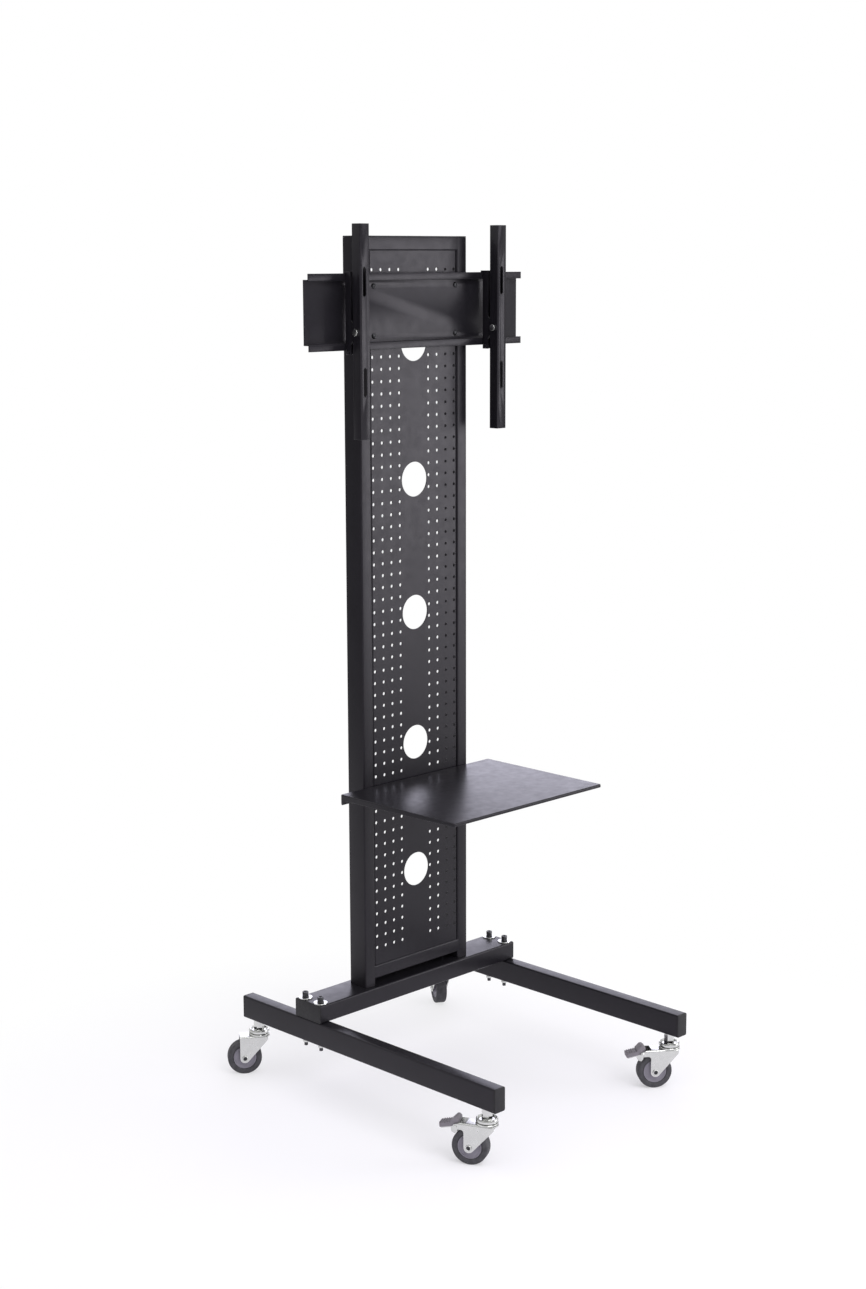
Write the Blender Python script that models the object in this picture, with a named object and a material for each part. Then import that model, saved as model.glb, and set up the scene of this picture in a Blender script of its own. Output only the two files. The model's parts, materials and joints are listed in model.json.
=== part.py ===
"""Mobile stand for a flat screen, with a perforated column, a shelf and four swivel casters.

Sizes are in metres and +Z is up. The front looks along -Y, the left is at -X, and the origin
is on the floor under the middle of the stand. Each caster has its own frame: its origin is on
the floor under the swivel axis, and +X points the way the wheel trails.
"""
import math

import bmesh
import bpy
from mathutils import Matrix, Vector
from mathutils.geometry import delaunay_2d_cdt

# Fits
GAP = 0.0003
BORE_CLEARANCE = 0.0004

# Foot tubes and crossbar
LEG_LENGTH = 0.762
LEG_WIDTH = 0.030
LEG_HEIGHT = 0.050
LEG_SPACING = 0.570
LEG_MIDDLE_Y = -0.013
CROSSBAR_DEPTH = 0.080
CROSSBAR_HEIGHT = 0.040
CROSSBAR_SHIFT_Y = 0.003
TUBE_WALL = 0.002
TUBE_CORNER = 0.003
PLUG_FLANGE = 0.003
PLUG_DEPTH = 0.016
PLUG_TO_BOLT = 0.0015

# Bolts through crossbar and leg
BASE_BOLT_RADIUS = 0.004
BASE_BOLT_SPACING = 0.048
BASE_BOLT_HEAD_RADIUS = 0.0065
BASE_BOLT_HEAD_HEIGHT = 0.0095
BASE_BOLT_TAIL = 0.008
SPRING_WASHER_RADIUS = 0.0068
SPRING_WASHER_THICKNESS = 0.0022
LARGE_WASHER_RADIUS = 0.015
LARGE_WASHER_THICKNESS = 0.002
BASE_NUT_RADIUS = 0.0075
BASE_NUT_HEIGHT = 0.008

# Column
PANEL_FRONT_Y = 0.125
COLUMN_HEIGHT = 1.600
UPRIGHT_WIDTH = 0.030
UPRIGHT_DEPTH = 0.050
PANEL_WIDTH = 0.254
SHEET = 0.002
PANEL_RECESS = 0.002
PANEL_RETURN = 0.015
PANEL_BEND = 0.0025
FOOT_SLOT = 0.015
RAIL_HEIGHT = 0.030
FOOT_PLATE = 0.010
COLUMN_BOLT_RADIUS = 0.004
COLUMN_BOLT_SPACING = 0.022
COLUMN_BOLT_HEAD_RADIUS = 0.0075
COLUMN_BOLT_HEAD_HEIGHT = 0.0053
COLUMN_BOLT_TAIL = 0.003

# Perforation of the panel
HOLE_PITCH = 0.0254
HOLE_RADIUS = 0.0035
HOLE_COLUMNS_PER_SIDE = 4
HOLE_INNER_X = 0.043
HOLE_ROW_MARGIN = 0.028
CABLE_HOLE_RADIUS = 0.037
CABLE_HOLE_SPACING = 0.28575
CABLE_HOLE_MARGIN = 0.120

# Shelf
SHELF_WIDTH = 0.450
SHELF_DEPTH = 0.335
SHELF_ROW = 14
SHELF_BACK_FLANGE = 0.024
SHELF_SIDE_FLANGE = 0.013
SHELF_FRONT_LIP = 0.007
SHELF_SCREW_DROP = 0.0145
SHELF_EDGE = 0.0015
SHELF_CORNER = 0.004

# Screws in the perforation, for shelf and hook rail
PANEL_SCREW_RADIUS = 0.0025
PANEL_SCREW_HEAD_RADIUS = 0.0055
PANEL_SCREW_HEAD_HEIGHT = 0.0033
PANEL_NUT_RADIUS = 0.0047
PANEL_NUT_HEIGHT = 0.004

# Screen bracket
HOOK_RAIL_LENGTH = 0.620
HOOK_RAIL_HALF_HEIGHT = 0.065
HOOK_RAIL_REACH = 0.014
HOOK_RAIL_LIP = 0.012
HOOK_RAIL_SHEET = 0.0025
HOOK_RAIL_ROWS_FROM_TOP = 4
HOOK_RAIL_ROWS_TO_BOLT = 2
ARM_SPACING = 0.400
ARM_LENGTH = 0.430
ARM_SHEET = 0.002
ARM_DEPTH = 0.022
ARM_BELOW_RAIL = 0.040
ARM_SLOT_STEP = 0.100
ARM_SLOT_LENGTH = 0.060
ARM_SLOT_WIDTH = 0.008
ARM_TILT_BACK = math.radians(5)
ARM_TILT_FORWARD = math.radians(10)
HOOK_WIDTH = 0.022
HOOK_DEPTH = 0.015
HOOK_SHEET = 0.003
HOOK_EAR_RADIUS = 0.009
TILT_PIVOT_RADIUS = 0.004
TILT_PIVOT_HEAD_RADIUS = 0.0075
TILT_PIVOT_HEAD_HEIGHT = 0.004
SAFETY_SCREW_RADIUS = 0.0025
SAFETY_SCREW_HEAD_RADIUS = 0.0045
SAFETY_SCREW_HEAD_HEIGHT = 0.003

# Casters
CASTER_HEIGHT = 0.120
CASTER_INSET = 0.035
CASTER_TRAIL = 0.033
WHEEL_RADIUS = 0.0375
WHEEL_WIDTH = 0.025
TYRE_SHOULDER = 0.004
TYRE_THICKNESS = 0.0125
HUB_WIDTH = 0.022
HUB_DISH = 0.003
HUB_BOSS_RADIUS = 0.010
SLEEVE_RADIUS = 0.006
AXLE_RADIUS = 0.004
AXLE_HEAD_RADIUS = 0.0065
AXLE_HEAD_HEIGHT = 0.002
FORK_SHEET = 0.0025
FORK_INNER_WIDTH = 0.0294
FORK_TOP_HEIGHT = 0.084
FORK_END_RADIUS = 0.0105
FORK_FRONT_RADIUS = 0.0235
FORK_SHOULDER_X = -0.0055
FORK_SHOULDER_HEIGHT = 0.0645
FORK_FILLET = 0.006
RACE_RADIUS = 0.0225
RACE_HEIGHT = 0.007
CUP_HEIGHT = 0.007
CUP_TOP_RADIUS = 0.018
STEM_RADIUS = 0.006
STEM_RIVET_RADIUS = 0.009
STEM_RIVET_HEIGHT = 0.0025
STEM_NUT_RADIUS = 0.0115
INSERT_NUT_HEIGHT = 0.010

# Foot brake of the front casters: sizes along the pad and across it, from the pivot pin
BRAKE_PIN_BEHIND_AXLE = 0.028
BRAKE_PIN_HEIGHT = 0.0787
BRAKE_PIN_RADIUS = 0.002
BRAKE_PIN_HEAD_RADIUS = 0.0035
BRAKE_PIN_HEAD_HEIGHT = 0.0015
BRAKE_WIDTH = 0.0255
BRAKE_SHEET = 0.0025
BRAKE_EYE_RADIUS = 0.0045
BRAKE_PAD_LENGTH = 0.035
BRAKE_PAD_THICKNESS = 0.009
BRAKE_RIBS = 5
BRAKE_RIB_DEPTH = 0.0012
BRAKE_BLOCK_X = 0.011
BRAKE_BLOCK_BACK = 0.009
BRAKE_BLOCK_HEIGHT = 0.0175
BRAKE_HEEL_X = 0.0125
BRAKE_HEEL_Z = -0.0115
BRAKE_SHOE_LOW = math.radians(38)
BRAKE_SHOE_HIGH = math.radians(47)
BRAKE_PRESSED = math.radians(-12)
BRAKE_TRAVEL = math.radians(30)

# Roundness: sides of the round pieces
WHEEL_SIDES = 16
RACE_SIDES = 12
WASHER_SIDES = 12
SMALL_SIDES = 8
TINY_SIDES = 6
HOLE_SIDES = 4
PERFORATION_SIDES = 3
CABLE_HOLE_SIDES = 16

# Names of the stand's sides and ends, with their direction
SIDES = (("left", -1), ("right", 1))
ENDS = (("front", -1), ("rear", 1))

# Each caster: end and side where it stands, its turn from +X, and how its brake stands
CASTERS = {
    "front_left": (-1, -1, math.radians(116), "pressed"),
    "front_right": (-1, 1, math.radians(143), "pressed"),
    "rear_left": (1, -1, math.radians(144), None),
    "rear_right": (1, 1, math.radians(58), None),
}

# Finishes: colour, roughness, metallic
BLACK_STEEL = ((0.022, 0.022, 0.026), 0.45, 0.0)
BLACK_PLASTIC = ((0.025, 0.025, 0.028), 0.6, 0.0)
BLACK_BOLT = ((0.03, 0.03, 0.032), 0.5, 0.6)
ZINC = ((0.62, 0.63, 0.62), 0.3, 1.0)
GREY_RUBBER = ((0.045, 0.045, 0.05), 0.75, 0.0)
GREY_PLASTIC = ((0.14, 0.14, 0.155), 0.5, 0.0)
PEDAL_PLASTIC = ((0.10, 0.095, 0.10), 0.6, 0.0)

# The crossbar ends flush with the outer faces of the foot tubes
CROSSBAR_LENGTH = LEG_SPACING + LEG_WIDTH

# Heights that follow
LEG_TOP = CASTER_HEIGHT + LEG_HEIGHT
CROSSBAR_TOP = LEG_TOP + CROSSBAR_HEIGHT
COLUMN_MIDDLE = CROSSBAR_TOP + COLUMN_HEIGHT / 2
COLUMN_TOP = CROSSBAR_TOP + COLUMN_HEIGHT
UPRIGHT_SPACING = PANEL_WIDTH + UPRIGHT_WIDTH
UPRIGHT_Y = PANEL_FRONT_Y + UPRIGHT_DEPTH / 2
CROSSBAR_Y = UPRIGHT_Y + CROSSBAR_SHIFT_Y
PANEL_BOTTOM = CROSSBAR_TOP + FOOT_SLOT + RAIL_HEIGHT
PANEL_TOP = COLUMN_TOP - RAIL_HEIGHT
SHEET_FRONT_Y = PANEL_FRONT_Y + PANEL_RECESS

# Rows and columns of the perforation, symmetric about the middle of the column
HALF_ROWS = int((COLUMN_HEIGHT / 2 - FOOT_SLOT - RAIL_HEIGHT - HOLE_ROW_MARGIN) / HOLE_PITCH + 0.5)
ROW_HEIGHTS = [COLUMN_MIDDLE + (row + 0.5) * HOLE_PITCH for row in range(-HALF_ROWS, HALF_ROWS)]
COLUMN_OFFSETS = [HOLE_INNER_X + step * HOLE_PITCH for step in range(HOLE_COLUMNS_PER_SIDE)]
CABLE_STEPS = int((COLUMN_HEIGHT / 2 - CABLE_HOLE_MARGIN) / CABLE_HOLE_SPACING)
CABLE_HEIGHTS = [COLUMN_MIDDLE + step * CABLE_HOLE_SPACING
                 for step in range(-CABLE_STEPS, CABLE_STEPS + 1)]

# Shelf and bracket stand on rows of the perforation
SHELF_SCREW_HEIGHT = ROW_HEIGHTS[SHELF_ROW]
SHELF_TOP = SHELF_SCREW_HEIGHT + SHELF_SCREW_DROP
HOOK_RAIL_HEIGHT = ROW_HEIGHTS[-HOOK_RAIL_ROWS_FROM_TOP]
RAIL_FRONT_Y = PANEL_FRONT_Y - GAP - HOOK_RAIL_SHEET
LIP_FRONT_Y = RAIL_FRONT_Y - HOOK_RAIL_REACH
LIP_BACK_Y = LIP_FRONT_Y + HOOK_RAIL_SHEET
HOOK_BACK_Y = LIP_FRONT_Y - GAP
ARM_HEIGHT = HOOK_RAIL_HEIGHT - ARM_BELOW_RAIL
ARM_PIVOT_Y = HOOK_BACK_Y - HOOK_DEPTH - 2 * HOOK_EAR_RADIUS
ARM_FRONT_Y = ARM_PIVOT_Y - HOOK_EAR_RADIUS - ARM_SHEET - GAP * 4

# Caster sizes that follow
CASTER_Y = LEG_LENGTH / 2 - CASTER_INSET
FORK_UNDERSIDE = FORK_TOP_HEIGHT - FORK_SHEET
FORK_OUTER = FORK_INNER_WIDTH / 2 + FORK_SHEET
HUB_RADIUS = WHEEL_RADIUS - TYRE_THICKNESS
CUP_BOTTOM = FORK_TOP_HEIGHT + RACE_HEIGHT + GAP
CUP_TOP = CUP_BOTTOM + CUP_HEIGHT
FORK_REAR_X = CASTER_TRAIL + FORK_END_RADIUS
BRAKE_PIN_X = CASTER_TRAIL + BRAKE_PIN_BEHIND_AXLE
BRAKE_EAR_RADIUS = FORK_TOP_HEIGHT - BRAKE_PIN_HEIGHT


def circle(radius, sides, middle=(0.0, 0.0), turn=0.0):
    """Corners of a regular polygon on a circle."""
    points = []
    for side in range(sides):
        angle = turn + 2 * math.pi * side / sides
        points.append((middle[0] + radius * math.cos(angle), middle[1] + radius * math.sin(angle)))
    return points


def corner_radius(radius, sides):
    """Corner distance of a polygon whose flats lie on the circle."""
    return radius / math.cos(math.pi / sides)


def opening(radius, sides):
    """Outline of a hole that a round piece of this radius passes."""
    return circle(corner_radius(radius, sides), sides)


def equal_area_radius(radius, sides):
    """Corner distance of a polygon with the circle's area."""
    return radius * math.sqrt(2 * math.pi / (sides * math.sin(2 * math.pi / sides)))


def hexagon(radius, sides):
    """Points along a regular hexagon with this corner radius; their number is a multiple of six."""
    points = []
    for side in range(sides):
        angle = 2 * math.pi * side / sides
        beside_middle = angle % (math.pi / 3) - math.pi / 6
        reach = radius * math.cos(math.pi / 6) / math.cos(beside_middle)
        points.append((reach * math.cos(angle), reach * math.sin(angle)))
    return points


def rectangle(width, height, corner):
    """Rectangle about the origin with its corners cut."""
    x, y, cut = width / 2, height / 2, corner * (1 - math.sqrt(0.5)) * 2
    return [(x, cut - y), (x, y - cut), (x - cut, y), (cut - x, y),
            (-x, y - cut), (-x, cut - y), (cut - x, -y), (x - cut, -y)]


def lifted(outline, height):
    """A flat outline as a loop of points at one height."""
    return [Vector((x, y, height)) for x, y in outline]


def loft(loops, closed=False):
    """Solid through loops of equal length; closed joins the last loop to the first as a ring."""
    mesh = bmesh.new()
    rings = [[mesh.verts.new(point) for point in loop] for loop in loops]
    pairs = list(zip(rings, rings[1:]))
    if closed:
        pairs.append((rings[-1], rings[0]))
    else:
        mesh.faces.new(rings[0])
        mesh.faces.new(rings[-1])
    for low, high in pairs:
        for i in range(len(low)):
            j = (i + 1) % len(low)
            mesh.faces.new((low[i], low[j], high[j], high[i]))
    bmesh.ops.recalc_face_normals(mesh, faces=mesh.faces)
    return mesh


def turned(profile, sides, closed=False, turn=0.0):
    """Solid of revolution about Z through (radius, height) points."""
    loops = [lifted(circle(radius, sides, turn=turn), height) for radius, height in profile]
    return loft(loops, closed)


def prism(outline, low, high):
    """Outline in XY extruded from low to high along Z."""
    return loft([lifted(outline, low), lifted(outline, high)])


def box(low, high):
    """Block between two corners."""
    outline = [(low[0], low[1]), (high[0], low[1]), (high[0], high[1]), (low[0], high[1])]
    return prism(outline, low[2], high[2])


def along_y(mesh):
    """Turn a solid so that its +Z looks along -Y and its +Y looks up."""
    return moved(mesh, Matrix.Rotation(math.radians(90), 4, "X"))


def along_x(mesh):
    """Turn a solid so that its +Z looks along +X, its +X along +Y and its +Y up."""
    return moved(mesh, Matrix(((0, 0, 1, 0), (1, 0, 0, 0), (0, 1, 0, 0), (0, 0, 0, 1))))


def moved(mesh, matrix):
    """The same solid in another place."""
    bmesh.ops.transform(mesh, matrix=matrix, verts=mesh.verts)
    return mesh


def shifted(mesh, x=0.0, y=0.0, z=0.0):
    """The same solid, shifted."""
    return moved(mesh, Matrix.Translation((x, y, z)))


def together(meshes):
    """Several cutters in one mesh."""
    whole = bmesh.new()
    for mesh in meshes:
        copy = bpy.data.meshes.new("copy")
        mesh.to_mesh(copy)
        mesh.free()
        whole.from_mesh(copy)
        bpy.data.meshes.remove(copy)
    return whole


def punched_skin(outline, holes):
    """Flat face in XY with holes, looking along +Z."""
    points, loops = [], []
    for loop in [outline] + holes:
        first = len(points)
        points += [Vector(point) for point in loop]
        loops.append(list(range(first, len(points))))
    inside_loops = 1
    corners, _, triangles, _, _, owners = delaunay_2d_cdt(points, [], loops, inside_loops, 1e-7)
    mesh = bmesh.new()
    verts = [mesh.verts.new((*corner, 0.0)) for corner in corners]
    for triangle, owner in zip(triangles, owners):
        if owner == [0]:
            mesh.faces.new([verts[i] for i in triangle])
    return mesh


def fold_back(skin, x, steps):
    """Continue a skin past its straight edge at x through (x, depth behind the skin) steps."""
    edge = sorted((vert for vert in skin.verts if abs(vert.co.x - x) < GAP / 2),
                  key=lambda vert: vert.co.y * x)
    for next_x, depth in steps:
        grown = [skin.verts.new((next_x, vert.co.y, -depth)) for vert in edge]
        for i in range(1, len(edge)):
            skin.faces.new((edge[i - 1], grown[i - 1], grown[i], edge[i]))
        edge = grown


def finish_of(name, finish):
    """A new Principled material from colour, roughness and metallic value."""
    colour, roughness, metallic = finish
    material = bpy.data.materials.new(name + "_finish")
    material.use_nodes = True
    shader = material.node_tree.nodes["Principled BSDF"]
    shader.inputs["Base Color"].default_value = (*colour, 1.0)
    shader.inputs["Roughness"].default_value = roughness
    shader.inputs["Metallic"].default_value = metallic
    material.diffuse_color = (*colour, 1.0)
    return material


def new_object(name, mesh, location, parent):
    """Object from a mesh in the making, placed under its parent."""
    data = bpy.data.meshes.new(name)
    mesh.to_mesh(data)
    mesh.free()
    made = bpy.data.objects.new(name, data)
    bpy.context.collection.objects.link(made)
    made.parent = parent
    made.location = location
    return made


def piece(name, mesh, finish, location=(0.0, 0.0, 0.0), parent=None, joins=(), cuts=(), adds=()):
    """One sub-part: solids are joined to it, others are cut from it, and then more are added."""
    made = new_object(name, mesh, location, parent)
    made.data.materials.append(finish_of(name, finish))
    steps = [("UNION", join) for join in joins] + [("DIFFERENCE", cut) for cut in cuts]
    steps += [("UNION", add) for add in adds]
    for number, (operation, tool_mesh) in enumerate(steps):
        tool = new_object(f"{name}_tool_{number}", tool_mesh, (0.0, 0.0, 0.0), made)
        tool.hide_render = True
        tool.display_type = "WIRE"
        modifier = made.modifiers.new(f"{operation.lower()}_{number}", "BOOLEAN")
        modifier.operation = operation
        modifier.solver = "EXACT"
        modifier.object = tool
    return made


def round_off(made, angle=40):
    """Smooth shading across gentle edges."""
    made.data.shade_smooth()
    made.data.set_sharp_from_angle(angle=math.radians(angle))
    return made


def pivot(name, location, parent=None, turn=0.0):
    """Empty on a joint's axis."""
    made = bpy.data.objects.new(name, None)
    made.empty_display_size = 0.02
    bpy.context.collection.objects.link(made)
    made.parent = parent
    made.location = location
    made.rotation_euler = (0.0, 0.0, turn)
    return made


def tube(width, height, length):
    """Open-ended rectangular tube along Z, centred on its length."""
    outer = rectangle(width, height, TUBE_CORNER)
    inner = rectangle(width - 2 * TUBE_WALL, height - 2 * TUBE_WALL, TUBE_CORNER - TUBE_WALL)
    half = length / 2
    return loft([lifted(outer, -half), lifted(outer, half), lifted(inner, half), lifted(inner, -half)],
                closed=True)


def plug(width, height, depth=PLUG_DEPTH):
    """End plug of a tube: its flange stands on z = 0, and its core reaches down into the tube."""
    flange = rectangle(width, height, TUBE_CORNER)
    inside = 2 * (TUBE_WALL + GAP)
    core = rectangle(width - inside, height - inside, TUBE_CORNER - TUBE_WALL)
    return loft([lifted(core, -depth), lifted(core, 0.0), lifted(flange, 0.0),
                 lifted(flange, PLUG_FLANGE)])


def base_bolt_places():
    """Name and place of each bolt through crossbar and leg."""
    return [(f"{word}_{hand}", side * LEG_SPACING / 2, CROSSBAR_Y + end * BASE_BOLT_SPACING / 2)
            for hand, side in SIDES for word, end in ENDS]


def column_bolt_steps():
    """Where bolts rise into an upright, along Y from its middle."""
    return [end * COLUMN_BOLT_SPACING / 2 for end in (-1, 1)]


def add_legs():
    """Two foot tubes with holes for the base bolts and the caster stems, and a plug in each end."""
    length = LEG_LENGTH - 2 * (PLUG_FLANGE + GAP)
    middle = CASTER_HEIGHT + LEG_HEIGHT / 2
    bolt_hole = opening(BASE_BOLT_RADIUS + BORE_CLEARANCE, HOLE_SIDES)
    stem_hole = opening(STEM_RADIUS + BORE_CLEARANCE, TINY_SIDES)
    plug_depth = CASTER_INSET - PLUG_FLANGE - STEM_NUT_RADIUS - PLUG_TO_BOLT
    for hand, side in SIDES:
        x = side * LEG_SPACING / 2
        holes = [shifted(prism(stem_hole, -LEG_HEIGHT, 0.0), y=end * CASTER_Y) for _, end in ENDS]
        for _, bolt_x, y in base_bolt_places():
            if bolt_x == x:
                holes.append(shifted(prism(bolt_hole, -LEG_HEIGHT, LEG_HEIGHT), y=y - LEG_MIDDLE_Y))
        piece(hand + "_leg", along_y(tube(LEG_WIDTH, LEG_HEIGHT, length)), BLACK_STEEL,
              (x, LEG_MIDDLE_Y, middle), cuts=[together(holes)])
        for word, end in ENDS:
            cap = along_y(plug(LEG_WIDTH, LEG_HEIGHT, plug_depth))
            if end > 0:
                cap = moved(cap, Matrix.Rotation(math.pi, 4, "Z"))
            piece(f"{word}_{hand}_leg_plug", cap, BLACK_PLASTIC,
                  (x, LEG_MIDDLE_Y + end * (length / 2 + GAP), middle))


def add_crossbar():
    """Flat tube across the legs, with its plugs and its bolt holes."""
    length = CROSSBAR_LENGTH - 2 * (PLUG_FLANGE + GAP)
    height = CROSSBAR_HEIGHT - GAP
    middle = LEG_TOP + GAP + height / 2
    hole = opening(BASE_BOLT_RADIUS + BORE_CLEARANCE, HOLE_SIDES)
    holes = [shifted(prism(hole, -height, height), x, y - CROSSBAR_Y)
             for _, x, y in base_bolt_places()]
    hole = opening(COLUMN_BOLT_RADIUS + BORE_CLEARANCE, HOLE_SIDES)
    holes += [shifted(prism(hole, -height, height), side * UPRIGHT_SPACING / 2,
                      UPRIGHT_Y + step - CROSSBAR_Y) for _, side in SIDES for step in column_bolt_steps()]
    piece("crossbar", along_x(tube(CROSSBAR_DEPTH, height, length)), BLACK_STEEL,
          (0.0, CROSSBAR_Y, middle), cuts=[together(holes)])
    beside_bolt = LEG_SPACING / 2 + BASE_BOLT_RADIUS + PLUG_TO_BOLT
    for hand, side in SIDES:
        cap = along_x(plug(CROSSBAR_DEPTH, height, length / 2 - beside_bolt))
        if side < 0:
            cap = moved(cap, Matrix.Rotation(math.pi, 4, "Z"))
        piece(hand + "_crossbar_plug", cap, BLACK_PLASTIC,
              (side * (length / 2 + GAP), CROSSBAR_Y, middle))


def stack(levels, sides):
    """Solid through (outline, height) pairs, each outline a radius or a list of points."""
    return loft([lifted(outline if isinstance(outline, list) else circle(outline, sides), height)
                 for outline, height in levels])


def add_base_bolts():
    """Socket-cap bolts with two washers above the crossbar and a nut below the leg."""
    nut = hexagon(BASE_NUT_RADIUS, WASHER_SIDES)
    plate_low = CROSSBAR_TOP + GAP
    plate_high = plate_low + LARGE_WASHER_THICKNESS
    seat = plate_high + SPRING_WASHER_THICKNESS
    head = seat + BASE_BOLT_HEAD_HEIGHT
    nut_high = CASTER_HEIGHT - GAP
    nut_low = nut_high - BASE_NUT_HEIGHT
    levels = [(BASE_BOLT_RADIUS, nut_low - BASE_BOLT_TAIL), (BASE_BOLT_RADIUS, nut_low),
              (nut, nut_low), (nut, nut_high),
              (BASE_BOLT_RADIUS, nut_high), (BASE_BOLT_RADIUS, plate_low),
              (LARGE_WASHER_RADIUS, plate_low), (LARGE_WASHER_RADIUS, plate_high),
              (SPRING_WASHER_RADIUS, plate_high), (SPRING_WASHER_RADIUS, seat),
              (BASE_BOLT_HEAD_RADIUS, seat), (BASE_BOLT_HEAD_RADIUS, head)]
    for name, x, y in base_bolt_places():
        piece(name + "_base_bolt", stack(levels, WASHER_SIDES), BLACK_BOLT, (x, y, 0.0))


def add_uprights():
    """Two uprights, each with a thick foot, the bolts that enter it from below, and a top plug."""
    low = CROSSBAR_TOP + GAP
    high = COLUMN_TOP - PLUG_FLANGE - GAP
    outer = rectangle(UPRIGHT_WIDTH, UPRIGHT_DEPTH, TUBE_CORNER)
    inner = rectangle(UPRIGHT_WIDTH - 2 * TUBE_WALL, UPRIGHT_DEPTH - 2 * TUBE_WALL,
                      TUBE_CORNER - TUBE_WALL)
    levels = [(outer, low), (outer, high), (inner, high), (inner, low + FOOT_PLATE)]
    head_low = LEG_TOP - COLUMN_BOLT_HEAD_HEIGHT
    bolt = [(COLUMN_BOLT_HEAD_RADIUS, head_low), (COLUMN_BOLT_HEAD_RADIUS, LEG_TOP),
            (COLUMN_BOLT_RADIUS, LEG_TOP), (COLUMN_BOLT_RADIUS, low + FOOT_PLATE + COLUMN_BOLT_TAIL)]
    for hand, side in SIDES:
        x = side * UPRIGHT_SPACING / 2
        bolts = [shifted(stack(bolt, TINY_SIDES), y=step) for step in column_bolt_steps()]
        piece(hand + "_upright", stack(levels, len(outer)), BLACK_STEEL, (x, UPRIGHT_Y, 0.0),
              joins=[together(bolts)])
        piece(hand + "_upright_plug", plug(UPRIGHT_WIDTH, UPRIGHT_DEPTH), BLACK_PLASTIC,
              (x, UPRIGHT_Y, high + GAP))


def add_panel():
    """Perforated sheet between the uprights, with its side edges folded back."""
    edge = PANEL_WIDTH / 2 - GAP
    flat = edge - PANEL_BEND
    low, high = PANEL_BOTTOM + GAP, PANEL_TOP - GAP
    screwed = shelf_screw_places() + rail_screw_places()
    holes = []
    for place in [(side * x, z) for z in ROW_HEIGHTS for x in COLUMN_OFFSETS for side in (-1, 1)]:
        sides = HOLE_SIDES if place in screwed else PERFORATION_SIDES
        reach = equal_area_radius(HOLE_RADIUS, sides)
        holes.append(circle(reach, sides, (place[0], place[1] - low), math.pi / 2))
    holes += [circle(CABLE_HOLE_RADIUS, CABLE_HOLE_SIDES, (0.0, z - low)) for z in CABLE_HEIGHTS]
    skin = punched_skin([(-flat, 0.0), (flat, 0.0), (flat, high - low), (-flat, high - low)], holes)
    for side in (-1, 1):
        fold_back(skin, side * flat, [(side * edge, PANEL_BEND), (side * edge, PANEL_RETURN)])
    panel = piece("perforated_panel", along_y(skin), BLACK_STEEL, (0.0, SHEET_FRONT_Y, low))
    thickness = panel.modifiers.new("thickness", "SOLIDIFY")
    thickness.thickness = SHEET
    thickness.offset = -1.0
    thickness.use_even_offset = True
    length = PANEL_WIDTH - 2 * GAP
    rail = (UPRIGHT_DEPTH, RAIL_HEIGHT, length)
    rail_y = PANEL_FRONT_Y + UPRIGHT_DEPTH / 2
    piece("bottom_rail", along_x(tube(*rail)), BLACK_STEEL,
          (0.0, rail_y, PANEL_BOTTOM - RAIL_HEIGHT / 2))
    piece("top_rail", along_x(tube(*rail)), BLACK_STEEL, (0.0, rail_y, PANEL_TOP + RAIL_HEIGHT / 2))


def shelf_screw_places():
    """Perforations that the shelf's screws pass, in the inner and outer columns."""
    return [(side * COLUMN_OFFSETS[k], SHELF_SCREW_HEIGHT)
            for side in (-1, 1) for k in (0, len(COLUMN_OFFSETS) - 1)]


def rail_screw_places():
    """Perforations that the hook rail's screws pass, in the outer columns."""
    rows = [-HOOK_RAIL_ROWS_FROM_TOP + end * HOOK_RAIL_ROWS_TO_BOLT for _, end in ENDS]
    return [(side * COLUMN_OFFSETS[-1], ROW_HEIGHTS[row]) for side in (-1, 1) for row in rows]


def screw_columns(places, name, head_front_y):
    """Screws along Y through the perforation, each with its nut behind the sheet."""
    seat = 0.0
    nut_front = head_front_y - (SHEET_FRONT_Y + SHEET + GAP)
    nut_back = nut_front - PANEL_NUT_HEIGHT
    levels = [(PANEL_NUT_RADIUS, nut_back), (PANEL_NUT_RADIUS, nut_front),
              (PANEL_SCREW_RADIUS, nut_front), (PANEL_SCREW_RADIUS, seat),
              (PANEL_SCREW_HEAD_RADIUS, seat), (PANEL_SCREW_HEAD_RADIUS, PANEL_SCREW_HEAD_HEIGHT)]
    for number, (x, z) in enumerate(places, 1):
        piece(f"{name}_screw_{number}", along_y(stack(levels, TINY_SIDES)), BLACK_BOLT,
              (x, head_front_y, z))


def add_shelf():
    """Folded shelf: deep flange at the back, tapering flanges at the sides, a lip in front."""
    back = PANEL_FRONT_Y - GAP

    def loop(inset, front, side, rear):
        """Outline at an inset; its height at the front, where the sides end, and at the back."""
        corner = max(SHELF_CORNER - inset, GAP)
        outline = rectangle(SHELF_WIDTH - 2 * inset, SHELF_DEPTH - 2 * inset, corner)
        half = SHELF_DEPTH / 2
        fold = half - inset - corner / 2
        return [Vector((x, y, rear if y > fold
                        else front + (side - front) * (y + half) / SHELF_DEPTH))
                for x, y in outline]

    bottom = (-SHELF_FRONT_LIP, -SHELF_SIDE_FLANGE, -SHELF_BACK_FLANGE)
    shelf = loft([loop(SHEET, -SHEET, -SHEET, -SHEET), loop(SHEET, *bottom), loop(0.0, *bottom),
                  loop(0.0, -SHELF_EDGE, -SHELF_EDGE, -SHELF_EDGE),
                  loop(SHELF_EDGE, 0.0, 0.0, 0.0)])
    places = shelf_screw_places()
    middle_y = back - SHELF_DEPTH / 2
    hole = opening(PANEL_SCREW_RADIUS + BORE_CLEARANCE, HOLE_SIDES)
    holes = [shifted(along_y(prism(hole, -SHEET * 2, SHEET * 2)), x, SHELF_DEPTH / 2 - SHEET,
                     z - SHELF_TOP) for x, z in places]
    piece("shelf", shelf, BLACK_STEEL, (0.0, middle_y, SHELF_TOP), cuts=[together(holes)])
    screw_columns(places, "shelf", back - SHEET - GAP)


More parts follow.
